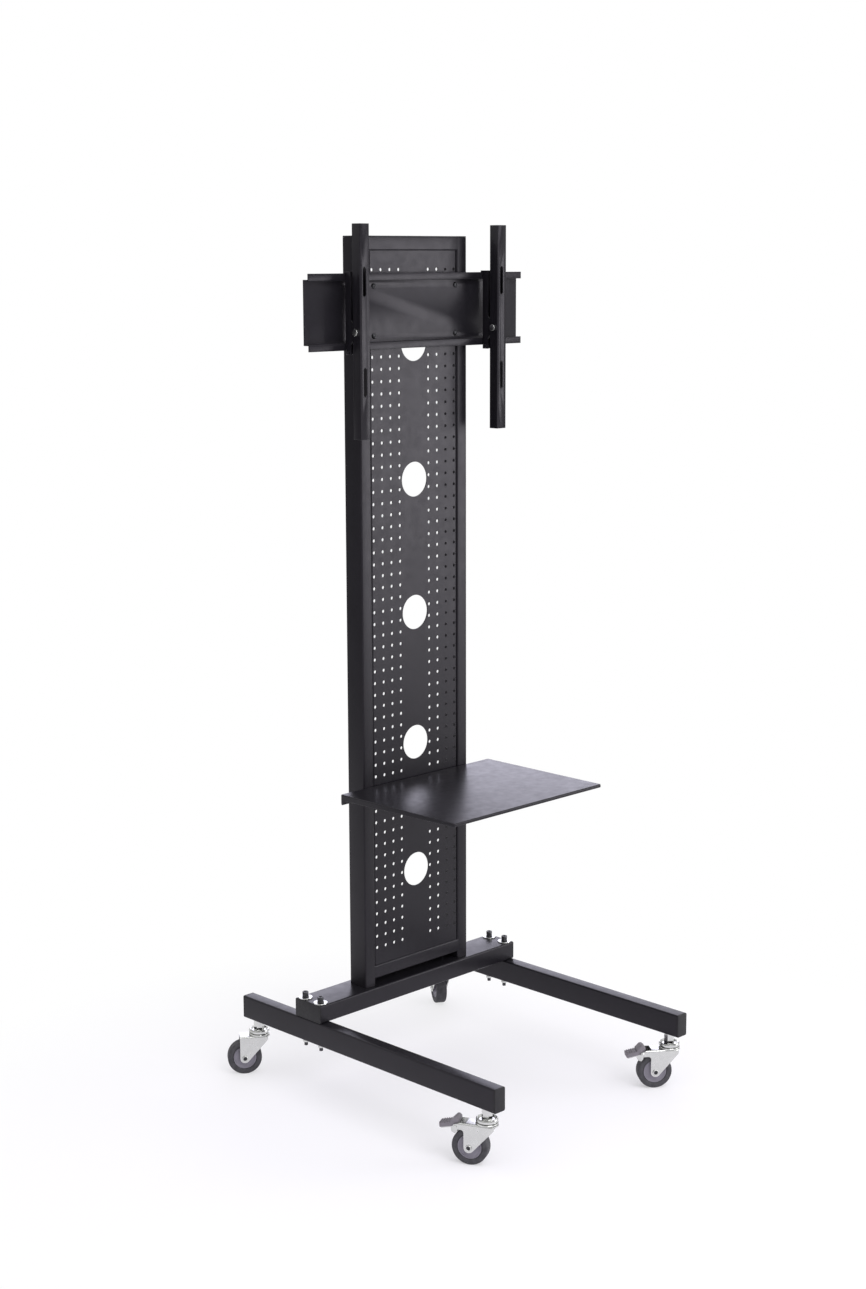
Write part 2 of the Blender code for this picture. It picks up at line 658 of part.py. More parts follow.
def add_hook_rail():
    """Folded rail across the column with an upper and a lower lip."""
    back = -GAP
    front = back - HOOK_RAIL_SHEET
    lip_front = front - HOOK_RAIL_REACH
    lip_back = lip_front + HOOK_RAIL_SHEET
    half = HOOK_RAIL_HALF_HEIGHT
    upper = [(back, half), (lip_back, half), (lip_back, half + HOOK_RAIL_LIP),
             (lip_front, half + HOOK_RAIL_LIP), (lip_front, half - HOOK_RAIL_SHEET),
             (front, half - HOOK_RAIL_SHEET)]
    outline = upper + [(y, -z) for y, z in reversed(upper)]
    rail = along_x(prism(outline, -HOOK_RAIL_LENGTH / 2, HOOK_RAIL_LENGTH / 2))
    places = rail_screw_places()
    hole = opening(PANEL_SCREW_RADIUS + BORE_CLEARANCE, HOLE_SIDES)
    holes = [shifted(along_y(prism(hole, -HOOK_RAIL_SHEET * 2, HOOK_RAIL_SHEET * 2)), x, front,
                     z - HOOK_RAIL_HEIGHT) for x, z in places]
    piece("hook_rail", rail, BLACK_STEEL, (0.0, PANEL_FRONT_Y, HOOK_RAIL_HEIGHT),
          cuts=[together(holes)])
    screw_columns(places, "rail", RAIL_FRONT_Y - GAP)


def cross_pin(radius, head_radius, head_height, half):
    """Pin along X with a head outside each of two sheets, at this distance from the middle."""
    return along_x(stack([(head_radius, -half - head_height), (head_radius, -half), (radius, -half),
                          (radius, half), (head_radius, half), (head_radius, half + head_height)],
                         SMALL_SIDES))


def add_screen_bracket():
    """Two hooks on the rail, each with its safety screw and a tilting slotted arm."""
    top = HOOK_RAIL_HALF_HEIGHT + HOOK_RAIL_LIP
    front = HOOK_BACK_Y - HOOK_DEPTH
    nose = LIP_BACK_Y + GAP
    nose_back = nose + HOOK_SHEET
    nose_low = top - HOOK_RAIL_LIP / 2
    safety_z = -top - GAP - SAFETY_SCREW_RADIUS
    foot = safety_z - SAFETY_SCREW_RADIUS - HOOK_SHEET
    outline = [(nose_back, nose_low), (nose_back, top + HOOK_SHEET + GAP),
               (front, top + HOOK_SHEET + GAP),
               (front, HOOK_EAR_RADIUS + HOOK_DEPTH - ARM_BELOW_RAIL)]
    outline += ear_points(ARM_PIVOT_Y, -ARM_BELOW_RAIL)
    outline += [(front, -HOOK_EAR_RADIUS - HOOK_DEPTH - ARM_BELOW_RAIL), (front, foot),
                (HOOK_BACK_Y, foot), (HOOK_BACK_Y, top + GAP), (nose, top + GAP), (nose, nose_low)]
    inner = HOOK_WIDTH / 2 - HOOK_SHEET
    beside = HOOK_WIDTH / 2
    for hand, side in SIDES:
        x = side * ARM_SPACING / 2
        body = along_x(prism(outline, -beside, beside))
        channel = box((-inner, ARM_PIVOT_Y - HOOK_DEPTH, foot - HOOK_SHEET),
                      (inner, HOOK_BACK_Y - HOOK_SHEET, top + HOOK_DEPTH))
        screw = cross_pin(SAFETY_SCREW_RADIUS, SAFETY_SCREW_HEAD_RADIUS, SAFETY_SCREW_HEAD_HEIGHT,
                          beside)
        screw = shifted(screw, y=HOOK_BACK_Y - HOOK_DEPTH / 2, z=safety_z)
        piece(hand + "_hook", body, BLACK_STEEL, (x, 0.0, HOOK_RAIL_HEIGHT), joins=[screw],
              cuts=[channel, cross_hole(TILT_PIVOT_RADIUS + GAP, ARM_PIVOT_Y, -ARM_BELOW_RAIL)])
        add_screen_arm(hand, x)
        pin = cross_pin(TILT_PIVOT_RADIUS, TILT_PIVOT_HEAD_RADIUS, TILT_PIVOT_HEAD_HEIGHT,
                        beside + ARM_SHEET + 2 * GAP)
        piece(hand + "_tilt_pivot", pin, ZINC, (x, ARM_PIVOT_Y, ARM_HEIGHT))


def ear_points(y, z):
    """Rounded front of the hook's ear about the tilt pivot, from top to bottom."""
    steps = 4
    points = []
    for step in range(steps + 1):
        angle = math.radians(60 + 240 * step / steps)
        points.append((y + HOOK_EAR_RADIUS * math.cos(angle), z + HOOK_EAR_RADIUS * math.sin(angle)))
    return points


def cross_hole(radius, y, z):
    """Cutter along X for a pin's hole."""
    return shifted(along_x(prism(opening(radius, SMALL_SIDES), -HOOK_WIDTH, HOOK_WIDTH)), y=y, z=z)


def add_screen_arm(word, x):
    """Channel that the screen bolts to, with its origin on the tilt axis."""
    inner = HOOK_WIDTH / 2 + GAP
    outer = inner + ARM_SHEET
    front = ARM_FRONT_Y - ARM_PIVOT_Y
    back = front + ARM_DEPTH
    half = ARM_LENGTH / 2
    outline = [(-outer, front), (outer, front), (outer, back), (inner, back),
               (inner, front + ARM_SHEET), (-inner, front + ARM_SHEET), (-inner, back), (-outer, back)]
    slots = []
    straight = (ARM_SLOT_LENGTH - ARM_SLOT_WIDTH) / 2
    slot = [(ARM_SLOT_WIDTH / 2, -straight), (ARM_SLOT_WIDTH / 2, straight), (0.0, ARM_SLOT_LENGTH / 2),
            (-ARM_SLOT_WIDTH / 2, straight), (-ARM_SLOT_WIDTH / 2, -straight),
            (0.0, -ARM_SLOT_LENGTH / 2)]
    count = int((half - ARM_SLOT_LENGTH / 2) / ARM_SLOT_STEP)
    for step in [sign * k for k in range(1, count + 1) for sign in (-1, 1)]:
        cutter = prism(slot, -ARM_SHEET, ARM_SHEET)
        slots.append(shifted(along_y(cutter), y=front + ARM_SHEET / 2, z=step * ARM_SLOT_STEP))
    axis = pivot(word + "_arm_tilt", (x, ARM_PIVOT_Y, ARM_HEIGHT))
    piece(word + "_screen_arm", prism(outline, -half, half), BLACK_STEEL, parent=axis,
          cuts=[together(slots + [cross_hole(TILT_PIVOT_RADIUS + GAP, 0.0, 0.0)])])


def fork_outline(brake):
    """Side view of the fork in its caster frame: cheek, sloping front, and the brake's ears."""
    rise = FORK_SHOULDER_HEIGHT - WHEEL_RADIUS
    run = FORK_SHOULDER_X - CASTER_TRAIL
    start = math.atan2(rise, run) + math.acos(FORK_END_RADIUS / math.hypot(rise, run))
    front = -FORK_FRONT_RADIUS
    points = [(front, FORK_TOP_HEIGHT), (front, FORK_UNDERSIDE - FORK_SHEET),
              (FORK_SHOULDER_X, FORK_SHOULDER_HEIGHT)]
    points += arc((CASTER_TRAIL, WHEEL_RADIUS), FORK_END_RADIUS, start, 2 * math.pi, 4)
    if brake:
        arm_low = BRAKE_PIN_HEIGHT - BRAKE_EAR_RADIUS
        fillet = (FORK_REAR_X + FORK_FILLET, arm_low - FORK_FILLET)
        points += arc(fillet, FORK_FILLET, math.pi, math.pi / 2, 3)
        points += arc((BRAKE_PIN_X, BRAKE_PIN_HEIGHT), BRAKE_EAR_RADIUS, -math.pi / 2, math.pi / 2, 4)
    else:
        points.append((FORK_REAR_X, FORK_TOP_HEIGHT))
    return points


def arc(middle, radius, start, end, steps):
    """Points along an arc, both ends included."""
    angles = [start + (end - start) * step / steps for step in range(steps + 1)]
    return [(middle[0] + radius * math.cos(angle), middle[1] + radius * math.sin(angle))
            for angle in angles]


def upright_prism(outline, half_width):
    """Outline in XZ of the caster frame, extruded to both sides along Y."""
    return along_y(prism(outline, -half_width, half_width))


def riveted_pin(radius, head_radius, head_height, outside, sleeve=None):
    """Pin along Y with a head outside each cheek, and perhaps a sleeve between the cheeks."""
    levels = [(head_radius, -outside - head_height), (head_radius, -outside), (radius, -outside)]
    if sleeve:
        inside = FORK_INNER_WIDTH / 2 - GAP
        levels += [(radius, -inside), (sleeve, -inside), (sleeve, inside), (radius, inside)]
    levels += [(radius, outside), (head_radius, outside), (head_radius, outside + head_height)]
    return along_y(stack(levels, TINY_SIDES))


def fork_nose():
    """Cutter that leaves the fork's front round about the swivel axis."""
    half = FORK_OUTER + FORK_SHEET
    start = math.pi - math.asin(FORK_OUTER / FORK_FRONT_RADIUS)
    nose = arc((0.0, 0.0), FORK_FRONT_RADIUS, start, 2 * math.pi - start, 6)
    beyond = -FORK_FRONT_RADIUS - FORK_SHEET
    return prism([(nose[0][0], half)] + nose + [(nose[-1][0], -half), (beyond, -half), (beyond, half)],
                 WHEEL_RADIUS, FORK_TOP_HEIGHT + GAP)


def add_fork(name, brake, swivel):
    """Stamped fork with the lower race on top and, where it has a brake, the brake's pin."""
    body = upright_prism(fork_outline(brake), FORK_OUTER)
    inner = FORK_INNER_WIDTH / 2
    beyond = BRAKE_PIN_X * 2
    race = stack([(RACE_RADIUS, FORK_UNDERSIDE + GAP), (RACE_RADIUS, FORK_TOP_HEIGHT + RACE_HEIGHT)],
                 RACE_SIDES)
    cuts = [box((-beyond, -inner, 0.0), (beyond, inner, FORK_UNDERSIDE)),
            prism(opening(STEM_RADIUS + BORE_CLEARANCE, SMALL_SIDES), WHEEL_RADIUS, CASTER_HEIGHT),
            shifted(upright_prism(opening(AXLE_RADIUS + GAP, SMALL_SIDES), beyond),
                    x=CASTER_TRAIL, z=WHEEL_RADIUS), fork_nose()]
    pins = []
    if brake:
        cuts.append(box((FORK_REAR_X - FORK_SHEET, -inner, 0.0), (beyond, inner, CASTER_HEIGHT)))
        sunk = FORK_SHEET / 2
        pin = riveted_pin(BRAKE_PIN_RADIUS, BRAKE_PIN_HEAD_RADIUS, BRAKE_PIN_HEAD_HEIGHT + sunk,
                          FORK_OUTER - sunk)
        pins.append(shifted(pin, x=BRAKE_PIN_X, z=BRAKE_PIN_HEIGHT))
    piece(name + "_fork", body, ZINC, parent=swivel, joins=[race], cuts=cuts, adds=pins)


def add_wheel(name, swivel):
    """Riveted axle with its sleeve in the fork, and the hub with its tyre that turns on it."""
    place = (CASTER_TRAIL, 0.0, WHEEL_RADIUS)
    axle = riveted_pin(AXLE_RADIUS, AXLE_HEAD_RADIUS, AXLE_HEAD_HEIGHT, FORK_OUTER + GAP,
                       SLEEVE_RADIUS)
    piece(name + "_axle", axle, ZINC, place, swivel)
    turning = pivot(name + "_wheel_axis", place, swivel)
    bore = corner_radius(SLEEVE_RADIUS + GAP, WHEEL_SIDES)
    rim = HUB_WIDTH / 2
    boss = FORK_INNER_WIDTH / 2 - 2 * GAP
    outer = corner_radius(HUB_RADIUS, WHEEL_SIDES)
    half = [(bore, boss), (HUB_BOSS_RADIUS, boss), (HUB_BOSS_RADIUS + HUB_DISH, rim - HUB_DISH),
            (outer, rim)]
    profile = half + [(radius, -height) for radius, height in reversed(half)]
    hub = along_y(turned(profile, WHEEL_SIDES, closed=True, turn=math.pi / WHEEL_SIDES))
    round_off(piece(name + "_hub", hub, GREY_PLASTIC, parent=turning))
    side = WHEEL_WIDTH / 2
    tread = corner_radius(WHEEL_RADIUS, WHEEL_SIDES)
    seat = corner_radius(HUB_RADIUS + GAP, WHEEL_SIDES)
    half = [(seat, side), (tread - TYRE_SHOULDER, side), (tread, side - TYRE_SHOULDER)]
    profile = half + [(radius, -height) for radius, height in reversed(half)]
    tyre = along_y(turned(profile, WHEEL_SIDES, closed=True, turn=math.pi / WHEEL_SIDES))
    round_off(piece(name + "_tyre", tyre, GREY_RUBBER, parent=turning))


def add_caster_stem(name, x, y):
    """Riveted stem with the upper race cup, the nut below the leg and the nut inside it."""
    nut = hexagon(STEM_NUT_RADIUS, RACE_SIDES)
    rivet_high = FORK_UNDERSIDE - GAP
    cup_shoulder = CUP_BOTTOM + CUP_HEIGHT / 2
    nut_high = CASTER_HEIGHT - GAP
    insert_low = CASTER_HEIGHT + TUBE_WALL + GAP
    levels = [(STEM_RIVET_RADIUS, rivet_high - STEM_RIVET_HEIGHT), (STEM_RIVET_RADIUS, rivet_high),
              (STEM_RADIUS, rivet_high), (STEM_RADIUS, CUP_BOTTOM), (RACE_RADIUS, CUP_BOTTOM),
              (RACE_RADIUS, cup_shoulder), (CUP_TOP_RADIUS, CUP_TOP), (nut, CUP_TOP),
              (nut, nut_high), (STEM_RADIUS, nut_high), (STEM_RADIUS, insert_low),
              (nut, insert_low), (nut, insert_low + INSERT_NUT_HEIGHT)]
    piece(name + "_caster_stem", stack(levels, RACE_SIDES), ZINC, (x, y, 0.0))


def shoe_corners():
    """Corners of the shoe on the tyre in the pressed position, in the frame of the pedal."""
    touch = corner_radius(WHEEL_RADIUS, WHEEL_SIDES) + GAP
    points = []
    for angle in (BRAKE_SHOE_HIGH, BRAKE_SHOE_LOW):
        x = CASTER_TRAIL + touch * math.cos(angle) - BRAKE_PIN_X
        z = WHEEL_RADIUS + touch * math.sin(angle) - BRAKE_PIN_HEIGHT
        cosine, sine = math.cos(BRAKE_PRESSED), math.sin(BRAKE_PRESSED)
        points.append((x * cosine + z * sine, z * cosine - x * sine))
    return points


def lever_outline():
    """Side view of the brake lever: eye round the pin, plate below the pad, shoe to the tyre."""
    plate_low = -GAP - BRAKE_SHEET
    end = BRAKE_PAD_LENGTH - BRAKE_SHEET
    points = [(end, plate_low), (end, -GAP)]
    points += arc((0.0, 0.0), BRAKE_EYE_RADIUS, 0.0, math.pi * 1.25, 5)
    points += shoe_corners()
    points += [(BRAKE_HEEL_X, BRAKE_HEEL_Z), (BRAKE_HEEL_X, plate_low)]
    return points


def pedal_outline():
    """Side view of the pedal: ribbed pad outside, raised block above the pin."""
    inside = corner_radius(BRAKE_EYE_RADIUS + GAP, SMALL_SIDES)
    points = arc((0.0, 0.0), inside, math.pi * 0.75, 0.0, 3)
    points += [(BRAKE_PAD_LENGTH, 0.0)]
    step = (BRAKE_PAD_LENGTH - BRAKE_BLOCK_X) / (2 * BRAKE_RIBS)
    for rib in range(BRAKE_RIBS):
        x = BRAKE_PAD_LENGTH - 2 * rib * step
        points += [(x, BRAKE_PAD_THICKNESS), (x - step, BRAKE_PAD_THICKNESS),
                   (x - step, BRAKE_PAD_THICKNESS - BRAKE_RIB_DEPTH),
                   (x - 2 * step, BRAKE_PAD_THICKNESS - BRAKE_RIB_DEPTH)]
    points += [(BRAKE_BLOCK_X, BRAKE_PAD_THICKNESS + BRAKE_RIB_DEPTH),
               (0.0, BRAKE_BLOCK_HEIGHT), (-BRAKE_EYE_RADIUS, BRAKE_BLOCK_HEIGHT),
               (-BRAKE_BLOCK_BACK, BRAKE_BLOCK_HEIGHT - BRAKE_EYE_RADIUS),
               (-BRAKE_BLOCK_BACK, BRAKE_EYE_RADIUS + BRAKE_SHEET)]
    return points


def add_brake(name, pressed, swivel):
    """Lever that turns on the pin in the fork's ears, and the ribbed pedal on the lever."""
    turning = pivot(name + "_brake_axis", (BRAKE_PIN_X, 0.0, BRAKE_PIN_HEIGHT), swivel)
    turning.rotation_euler.y = -(BRAKE_PRESSED if pressed else BRAKE_PRESSED + BRAKE_TRAVEL)
    hole = upright_prism(opening(BRAKE_PIN_RADIUS + GAP, SMALL_SIDES), BRAKE_WIDTH)
    lever = upright_prism(lever_outline(), BRAKE_WIDTH / 2 - BRAKE_SHEET)
    piece(name + "_brake_lever", lever, ZINC, parent=turning, cuts=[hole])
    piece(name + "_brake_pedal", upright_prism(pedal_outline(), BRAKE_WIDTH / 2), PEDAL_PLASTIC,
          parent=turning)


def add_casters():
    """Each stem is fixed to its leg; the fork swivels on it with the wheel and the brake."""
    for name, (end, side, turn, brake) in CASTERS.items():
        x = side * LEG_SPACING / 2
        y = LEG_MIDDLE_Y + end * CASTER_Y
        add_caster_stem(name, x, y)
        swivel = pivot(name + "_swivel_axis", (x, y, 0.0), turn=turn)
        add_fork(name, brake is not None, swivel)
        add_wheel(name, swivel)
        if brake is not None:
            add_brake(name, brake == "pressed", swivel)


def main():
    """Build the whole stand in an empty scene."""
    for old in list(bpy.data.objects):
        bpy.data.objects.remove(old, do_unlink=True)
    add_legs()
    add_crossbar()
    add_base_bolts()
    add_uprights()
    add_panel()
    add_shelf()
    add_hook_rail()
    add_screen_bracket()
    add_casters()


main()
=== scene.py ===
"""Finished look of a rolling screen stand with a perforated column, a shelf and braked casters.

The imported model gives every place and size. Each operator below makes one piece, or one group of
like pieces, over the parts of that model. Lengths are in metres and the front looks along -Y.
"""

import json
import math

import bmesh
import bpy
from mathutils import Matrix, Vector


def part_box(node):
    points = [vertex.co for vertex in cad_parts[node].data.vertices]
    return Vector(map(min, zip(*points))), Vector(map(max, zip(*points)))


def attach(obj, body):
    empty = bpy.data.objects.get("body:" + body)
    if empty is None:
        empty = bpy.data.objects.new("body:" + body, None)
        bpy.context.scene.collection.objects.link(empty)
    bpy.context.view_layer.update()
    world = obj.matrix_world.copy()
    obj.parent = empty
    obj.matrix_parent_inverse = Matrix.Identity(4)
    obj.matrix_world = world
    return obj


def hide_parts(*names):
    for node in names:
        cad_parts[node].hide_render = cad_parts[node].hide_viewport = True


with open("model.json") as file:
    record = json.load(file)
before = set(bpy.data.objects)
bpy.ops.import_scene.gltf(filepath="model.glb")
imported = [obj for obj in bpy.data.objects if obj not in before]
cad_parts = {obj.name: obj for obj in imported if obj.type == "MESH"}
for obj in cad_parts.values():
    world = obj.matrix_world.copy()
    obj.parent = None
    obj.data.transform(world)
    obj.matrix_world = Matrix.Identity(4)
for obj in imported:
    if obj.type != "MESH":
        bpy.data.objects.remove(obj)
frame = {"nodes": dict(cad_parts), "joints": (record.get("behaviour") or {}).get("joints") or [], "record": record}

bl_info = {
    "name": "Rolling screen stand",
    "version": (1, 0, 0),
    "blender": (4, 5, 0),
    "location": "3D View > Sidebar > Stand",
    "description": "Makes the finished pieces of a rolling stand for a flat screen",
    "category": "Object",
}

NODE_BODY = {node: body for body, nodes in frame["record"]["behaviour"]["bodies"].items()
             for node in nodes}
JOINTS = {joint["name"]: joint for joint in frame["joints"]}
HANDS = ("left", "right")
CORNERS = ("front_left", "front_right", "rear_left", "rear_right")
BRAKED = CORNERS[:2]
SMOOTH_ANGLE = math.radians(35)
BEVEL_ANGLE = math.radians(28)
QUARTER = math.radians(90)
ORIGIN = (0.0, 0.0, 0.0)
WHITE = (1.0, 1.0, 1.0)

# Clearance between pieces that meet, and the distance below which points are one.
GAP = 0.0003
SAME_POINT = 0.00001

# The fork from the side, and the holes in it.
FORK_BEND = 0.0035
FORK_FRONT = 0.0235
FORK_END = 0.0105
FORK_SHOULDER = (-0.0055, 0.0645)
FORK_FILLET = 0.006
EAR_RADIUS = 0.0053
EAR_START = 0.018
PIN_BEHIND_AXLE = 0.028
PIN_HEIGHT = 0.0787
AXLE_BORE = 0.0041
STEM_HOLE = 0.0064
CUT_REACH = 0.01
PAST_FORK = 0.09

# Hole of a washer on a base bolt.
WASHER_HOLE = 0.0045

# The middle part of a noise, which holds nearly all its values.
NOISE_MIDDLE = (0.3, 0.7)

# A look: values on the shader, then noises for the tint (scale, detail, darker, lighter), the
# gloss (scale, detail, smoothest, roughest) and the relief (scale, detail, depth, strength).
SATIN_PAINT = ({"Specular IOR Level": 0.28, "Specular Tint": (0.95, 0.9, 1.0, 1.0)},
               (9.0, 4.0, 0.88, 1.15), (60.0, 4.0, 0.3, 0.37), (900.0, 2.0, 0.00002, 0.5))
GRAINED_PLASTIC = ({"Specular IOR Level": 0.3},
                   (45.0, 4.0, 0.92, 1.08), (160.0, 4.0, 0.42, 0.58), (2400.0, 3.0, 0.00005, 0.7))
OXIDISED_STEEL = ({"Metallic": 0.85},
                  (220.0, 4.0, 0.7, 1.5), (420.0, 4.0, 0.3, 0.5), (1500.0, 2.0, 0.00003, 0.5))
CLOUDED_PLATING = ({"Metallic": 1.0},
                   (90.0, 3.0, 0.95, 1.04), (90.0, 3.0, 0.22, 0.29), (160.0, 2.0, 0.00003, 0.4))
TURNED_PLATING = ({"Metallic": 1.0},
                  (120.0, 3.0, 0.93, 1.05), (300.0, 4.0, 0.09, 0.15), (260.0, 2.0, 0.00002, 0.4))
SCUFFED_RUBBER = ({}, (90.0, 6.0, 0.8, 1.35), (240.0, 4.0, 0.6, 0.8), (1300.0, 4.0, 0.00009, 0.8))

# A finish: its colour in the panel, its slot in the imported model, and its look.
FINISHES = {
    "powder_coat": ("powder_coat", "black_steel", SATIN_PAINT),
    "plug_plastic": ("black_plastic", "black_plastic", GRAINED_PLASTIC),
    "black_screw": ("black_steel", "black_bolt", OXIDISED_STEEL),
    "zinc_plate": ("zinc", "zinc", CLOUDED_PLATING),
    "bright_zinc": ("zinc", "zinc", TURNED_PLATING),
    "tyre_rubber": ("tyre", "grey_tyre", SCUFFED_RUBBER),
    "wheel_plastic": ("wheel", "grey_wheel", GRAINED_PLASTIC),
    "pedal_plastic": ("pedal", "pedal", GRAINED_PLASTIC),
}


class StandSizes(bpy.types.PropertyGroup):
    """Sizes of the finished surfaces."""

    tube_corner: bpy.props.FloatProperty(
        name="Tube corner", description="Outer corner radius of the square tubes",
        default=0.0035, min=0.001, max=0.008, unit="LENGTH")
    sheet_edge: bpy.props.FloatProperty(
        name="Sheet edge", description="Rounding of folded sheet edges under their paint",
        default=0.0006, min=0.0001, max=0.001, unit="LENGTH")
    hole_diameter: bpy.props.FloatProperty(
        name="Perforation", description="Diameter of the small holes in the column",
        default=0.007, min=0.002, max=0.012, unit="LENGTH")
    hole_pitch: bpy.props.FloatProperty(
        name="Perforation pitch", description="Distance between neighbouring small holes",
        default=0.0254, min=0.01, max=0.05, unit="LENGTH")
    hole_columns: bpy.props.IntProperty(
        name="Columns per side", description="Columns of small holes on each side of the middle",
        default=4, min=1, max=4)
    hole_rows: bpy.props.IntProperty(
        name="Rows", description="Rows of small holes", default=58, min=2, max=58)
    hole_inner: bpy.props.FloatProperty(
        name="Inner column", description="Distance of the inner columns from the middle",
        default=0.043, min=0.02, max=0.08, unit="LENGTH")
    cable_hole: bpy.props.FloatProperty(
        name="Cable hole", description="Diameter of the large holes in the column",
        default=0.074, min=0.03, max=0.08, unit="LENGTH")
    cable_spacing: bpy.props.FloatProperty(
        name="Cable hole spacing", description="Distance between the large holes",
        default=0.28575, min=0.1, max=0.4, unit="LENGTH")
    sheet: bpy.props.FloatProperty(
        name="Sheet", description="Thickness of the perforated sheet",
        default=0.002, min=0.001, max=0.003, unit="LENGTH")
    wheel_radius: bpy.props.FloatProperty(
        name="Wheel radius", description="Radius over the tyre's tread",
        default=0.0375, min=0.03, max=0.038, unit="LENGTH")
    fork_inner: bpy.props.FloatProperty(
        name="Fork half width", description="Distance of a cheek's inner face from the middle",
        default=0.0147, min=0.01, max=0.02, unit="LENGTH")
    fork_sheet: bpy.props.FloatProperty(
        name="Fork sheet", description="Thickness of the stamped fork",
        default=0.0025, min=0.001, max=0.004, unit="LENGTH")
    race_height: bpy.props.FloatProperty(
        name="Race height", description="Height of the lower race on the fork",
        default=0.004, min=0.003, max=0.01, unit="LENGTH")
    flange: bpy.props.FloatProperty(
        name="Plug flange", description="Thickness of a plug outside its tube",
        default=0.003, min=0.001, max=0.005, unit="LENGTH")
    washer_radius: bpy.props.FloatProperty(
        name="Large washer", description="Radius of the washers on the crossbar",
        default=0.015, min=0.01, max=0.02, unit="LENGTH")
    head_height: bpy.props.FloatProperty(
        name="Bolt head", description="Height of the socket heads on the crossbar",
        default=0.0095, min=0.005, max=0.012, unit="LENGTH")


class StandColours(bpy.types.PropertyGroup):
    """Colours of the finishes."""

    powder_coat: bpy.props.FloatVectorProperty(
        name="Powder coat", description="Satin paint of tubes and sheets", subtype="COLOR",
        default=(0.0105, 0.0097, 0.0125), min=0.0, max=1.0)
    black_plastic: bpy.props.FloatVectorProperty(
        name="Plugs", description="Moulded plugs in the tube ends", subtype="COLOR",
        default=(0.0135, 0.0125, 0.0155), min=0.0, max=1.0)
    black_steel: bpy.props.FloatVectorProperty(
        name="Black screws", description="Blackened steel of screws", subtype="COLOR",
        default=(0.05, 0.05, 0.055), min=0.0, max=1.0)
    zinc: bpy.props.FloatVectorProperty(
        name="Zinc plate", description="Bright plating of casters and washers", subtype="COLOR",
        default=(0.64, 0.645, 0.635), min=0.0, max=1.0)
    tyre: bpy.props.FloatVectorProperty(
        name="Tyre", description="Grey rubber of the treads", subtype="COLOR",
        default=(0.046, 0.0445, 0.051), min=0.0, max=1.0)
    wheel: bpy.props.FloatVectorProperty(
        name="Wheel", description="Moulded grey wheel body", subtype="COLOR",
        default=(0.215, 0.203, 0.24), min=0.0, max=1.0)
    pedal: bpy.props.FloatVectorProperty(
        name="Pedal", description="Moulded warm grey pedal", subtype="COLOR",
        default=(0.2, 0.184, 0.208), min=0.0, max=1.0)


def added(tree, kind, inputs=(), **settings):
    """New node with these settings; each named input takes a value or a link from a socket."""
    made = tree.nodes.new(kind)
    for name, value in settings.items():
        setattr(made, name, value)
    for name, value in inputs:
        if isinstance(value, bpy.types.NodeSocket):
            tree.links.new(value, made.inputs[name])
        else:
            made.inputs[name].default_value = value
    return made


def calculated(tree, operation, first, second):
    """Number from two numbers or sockets."""
    step = added(tree, "ShaderNodeMath", [(0, first), (1, second)], operation=operation)
    return step.outputs["Value"]


def spread(tree, value, start, end, low, high):
    """The range from start to end of a value, spread over low to high."""
    names = ("Value", "From Min", "From Max", "To Min", "To Max")
    step = added(tree, "ShaderNodeMapRange", zip(names, (value, start, end, low, high)))
    return step.outputs["Result"]


def noise(tree, scale, detail):
    """Noise on object coordinates, in cells per metre."""
    place = added(tree, "ShaderNodeTexCoord")
    texture = added(tree, "ShaderNodeTexNoise", [
        ("Vector", place.outputs["Object"]), ("Scale", scale), ("Detail", detail)])
    return texture.outputs["Fac"]


def tinted(tree, value, colour, darker, lighter):
    """Colour that wavers between a darker and a lighter shade."""
    ramp = added(tree, "ShaderNodeValToRGB", [("Fac", value)])
    for stop, place, share in zip(ramp.color_ramp.elements, NOISE_MIDDLE, (darker, lighter)):
        stop.position = place
        stop.color = (*[min(channel * share, 1.0) for channel in colour], 1.0)
    return ramp.outputs["Color"]


def new_material(name):
    """Material with an empty shader tree."""
    material = bpy.data.materials.new(name)
    material.use_nodes = True
    material.node_tree.nodes.clear()
    return material, material.node_tree


def finish(name):
    """Material of one of the finishes, made at its first use."""
    if name not in bpy.data.materials:
        colour_name, _, (values, tint, gloss, relief) = FINISHES[name]
        colour = tuple(getattr(bpy.context.scene.stand_colours, colour_name))
        material, tree = new_material(name)
        material.diffuse_color = (*colour, 1.0)
        bump = added(tree, "ShaderNodeBump", [
            ("Height", noise(tree, *relief[:2])), ("Distance", relief[2]), ("Strength", relief[3])])
        shader = added(tree, "ShaderNodeBsdfPrincipled", [
            *values.items(),
            ("Base Color", tinted(tree, noise(tree, *tint[:2]), colour, *tint[2:])),
            ("Roughness", spread(tree, noise(tree, *gloss[:2]), *NOISE_MIDDLE, *gloss[2:])),
            ("Normal", bump.outputs["Normal"])])
        added(tree, "ShaderNodeOutputMaterial", [("Surface", shader.outputs["BSDF"])])
    return bpy.data.materials[name]


def arc(middle, radius, start, end, steps):
    """Points along an arc, both ends included."""
    angles = [start + (end - start) * step / steps for step in range(steps + 1)]
    return [(middle[0] + radius * math.cos(angle), middle[1] + radius * math.sin(angle))
            for angle in angles]


def rounded_rectangle(width, height, radius, steps=5):
    """Outline about the origin with round corners."""
    x, y = width / 2 - radius, height / 2 - radius
    points = []
    for quarter, middle in enumerate(((x, y), (-x, y), (-x, -y), (x, -y))):
        points += arc(middle, radius, quarter * math.pi / 2, (quarter + 1) * math.pi / 2, steps)
    return points


def hexagon(radius, sides):
    """Points along a hexagon with this corner radius, so that it lofts to a circle."""
    points = []
    for side in range(sides):
        angle = 2 * math.pi * side / sides
        reach = radius * math.cos(math.pi / 6) / math.cos(angle % (math.pi / 3) - math.pi / 6)
        points.append((reach * math.cos(angle), reach * math.sin(angle)))
    return points


def circle(radius, sides):
    """Points round the origin."""
    return [(radius * math.cos(2 * math.pi * side / sides), radius * math.sin(2 * math.pi * side / sides))
            for side in range(sides)]


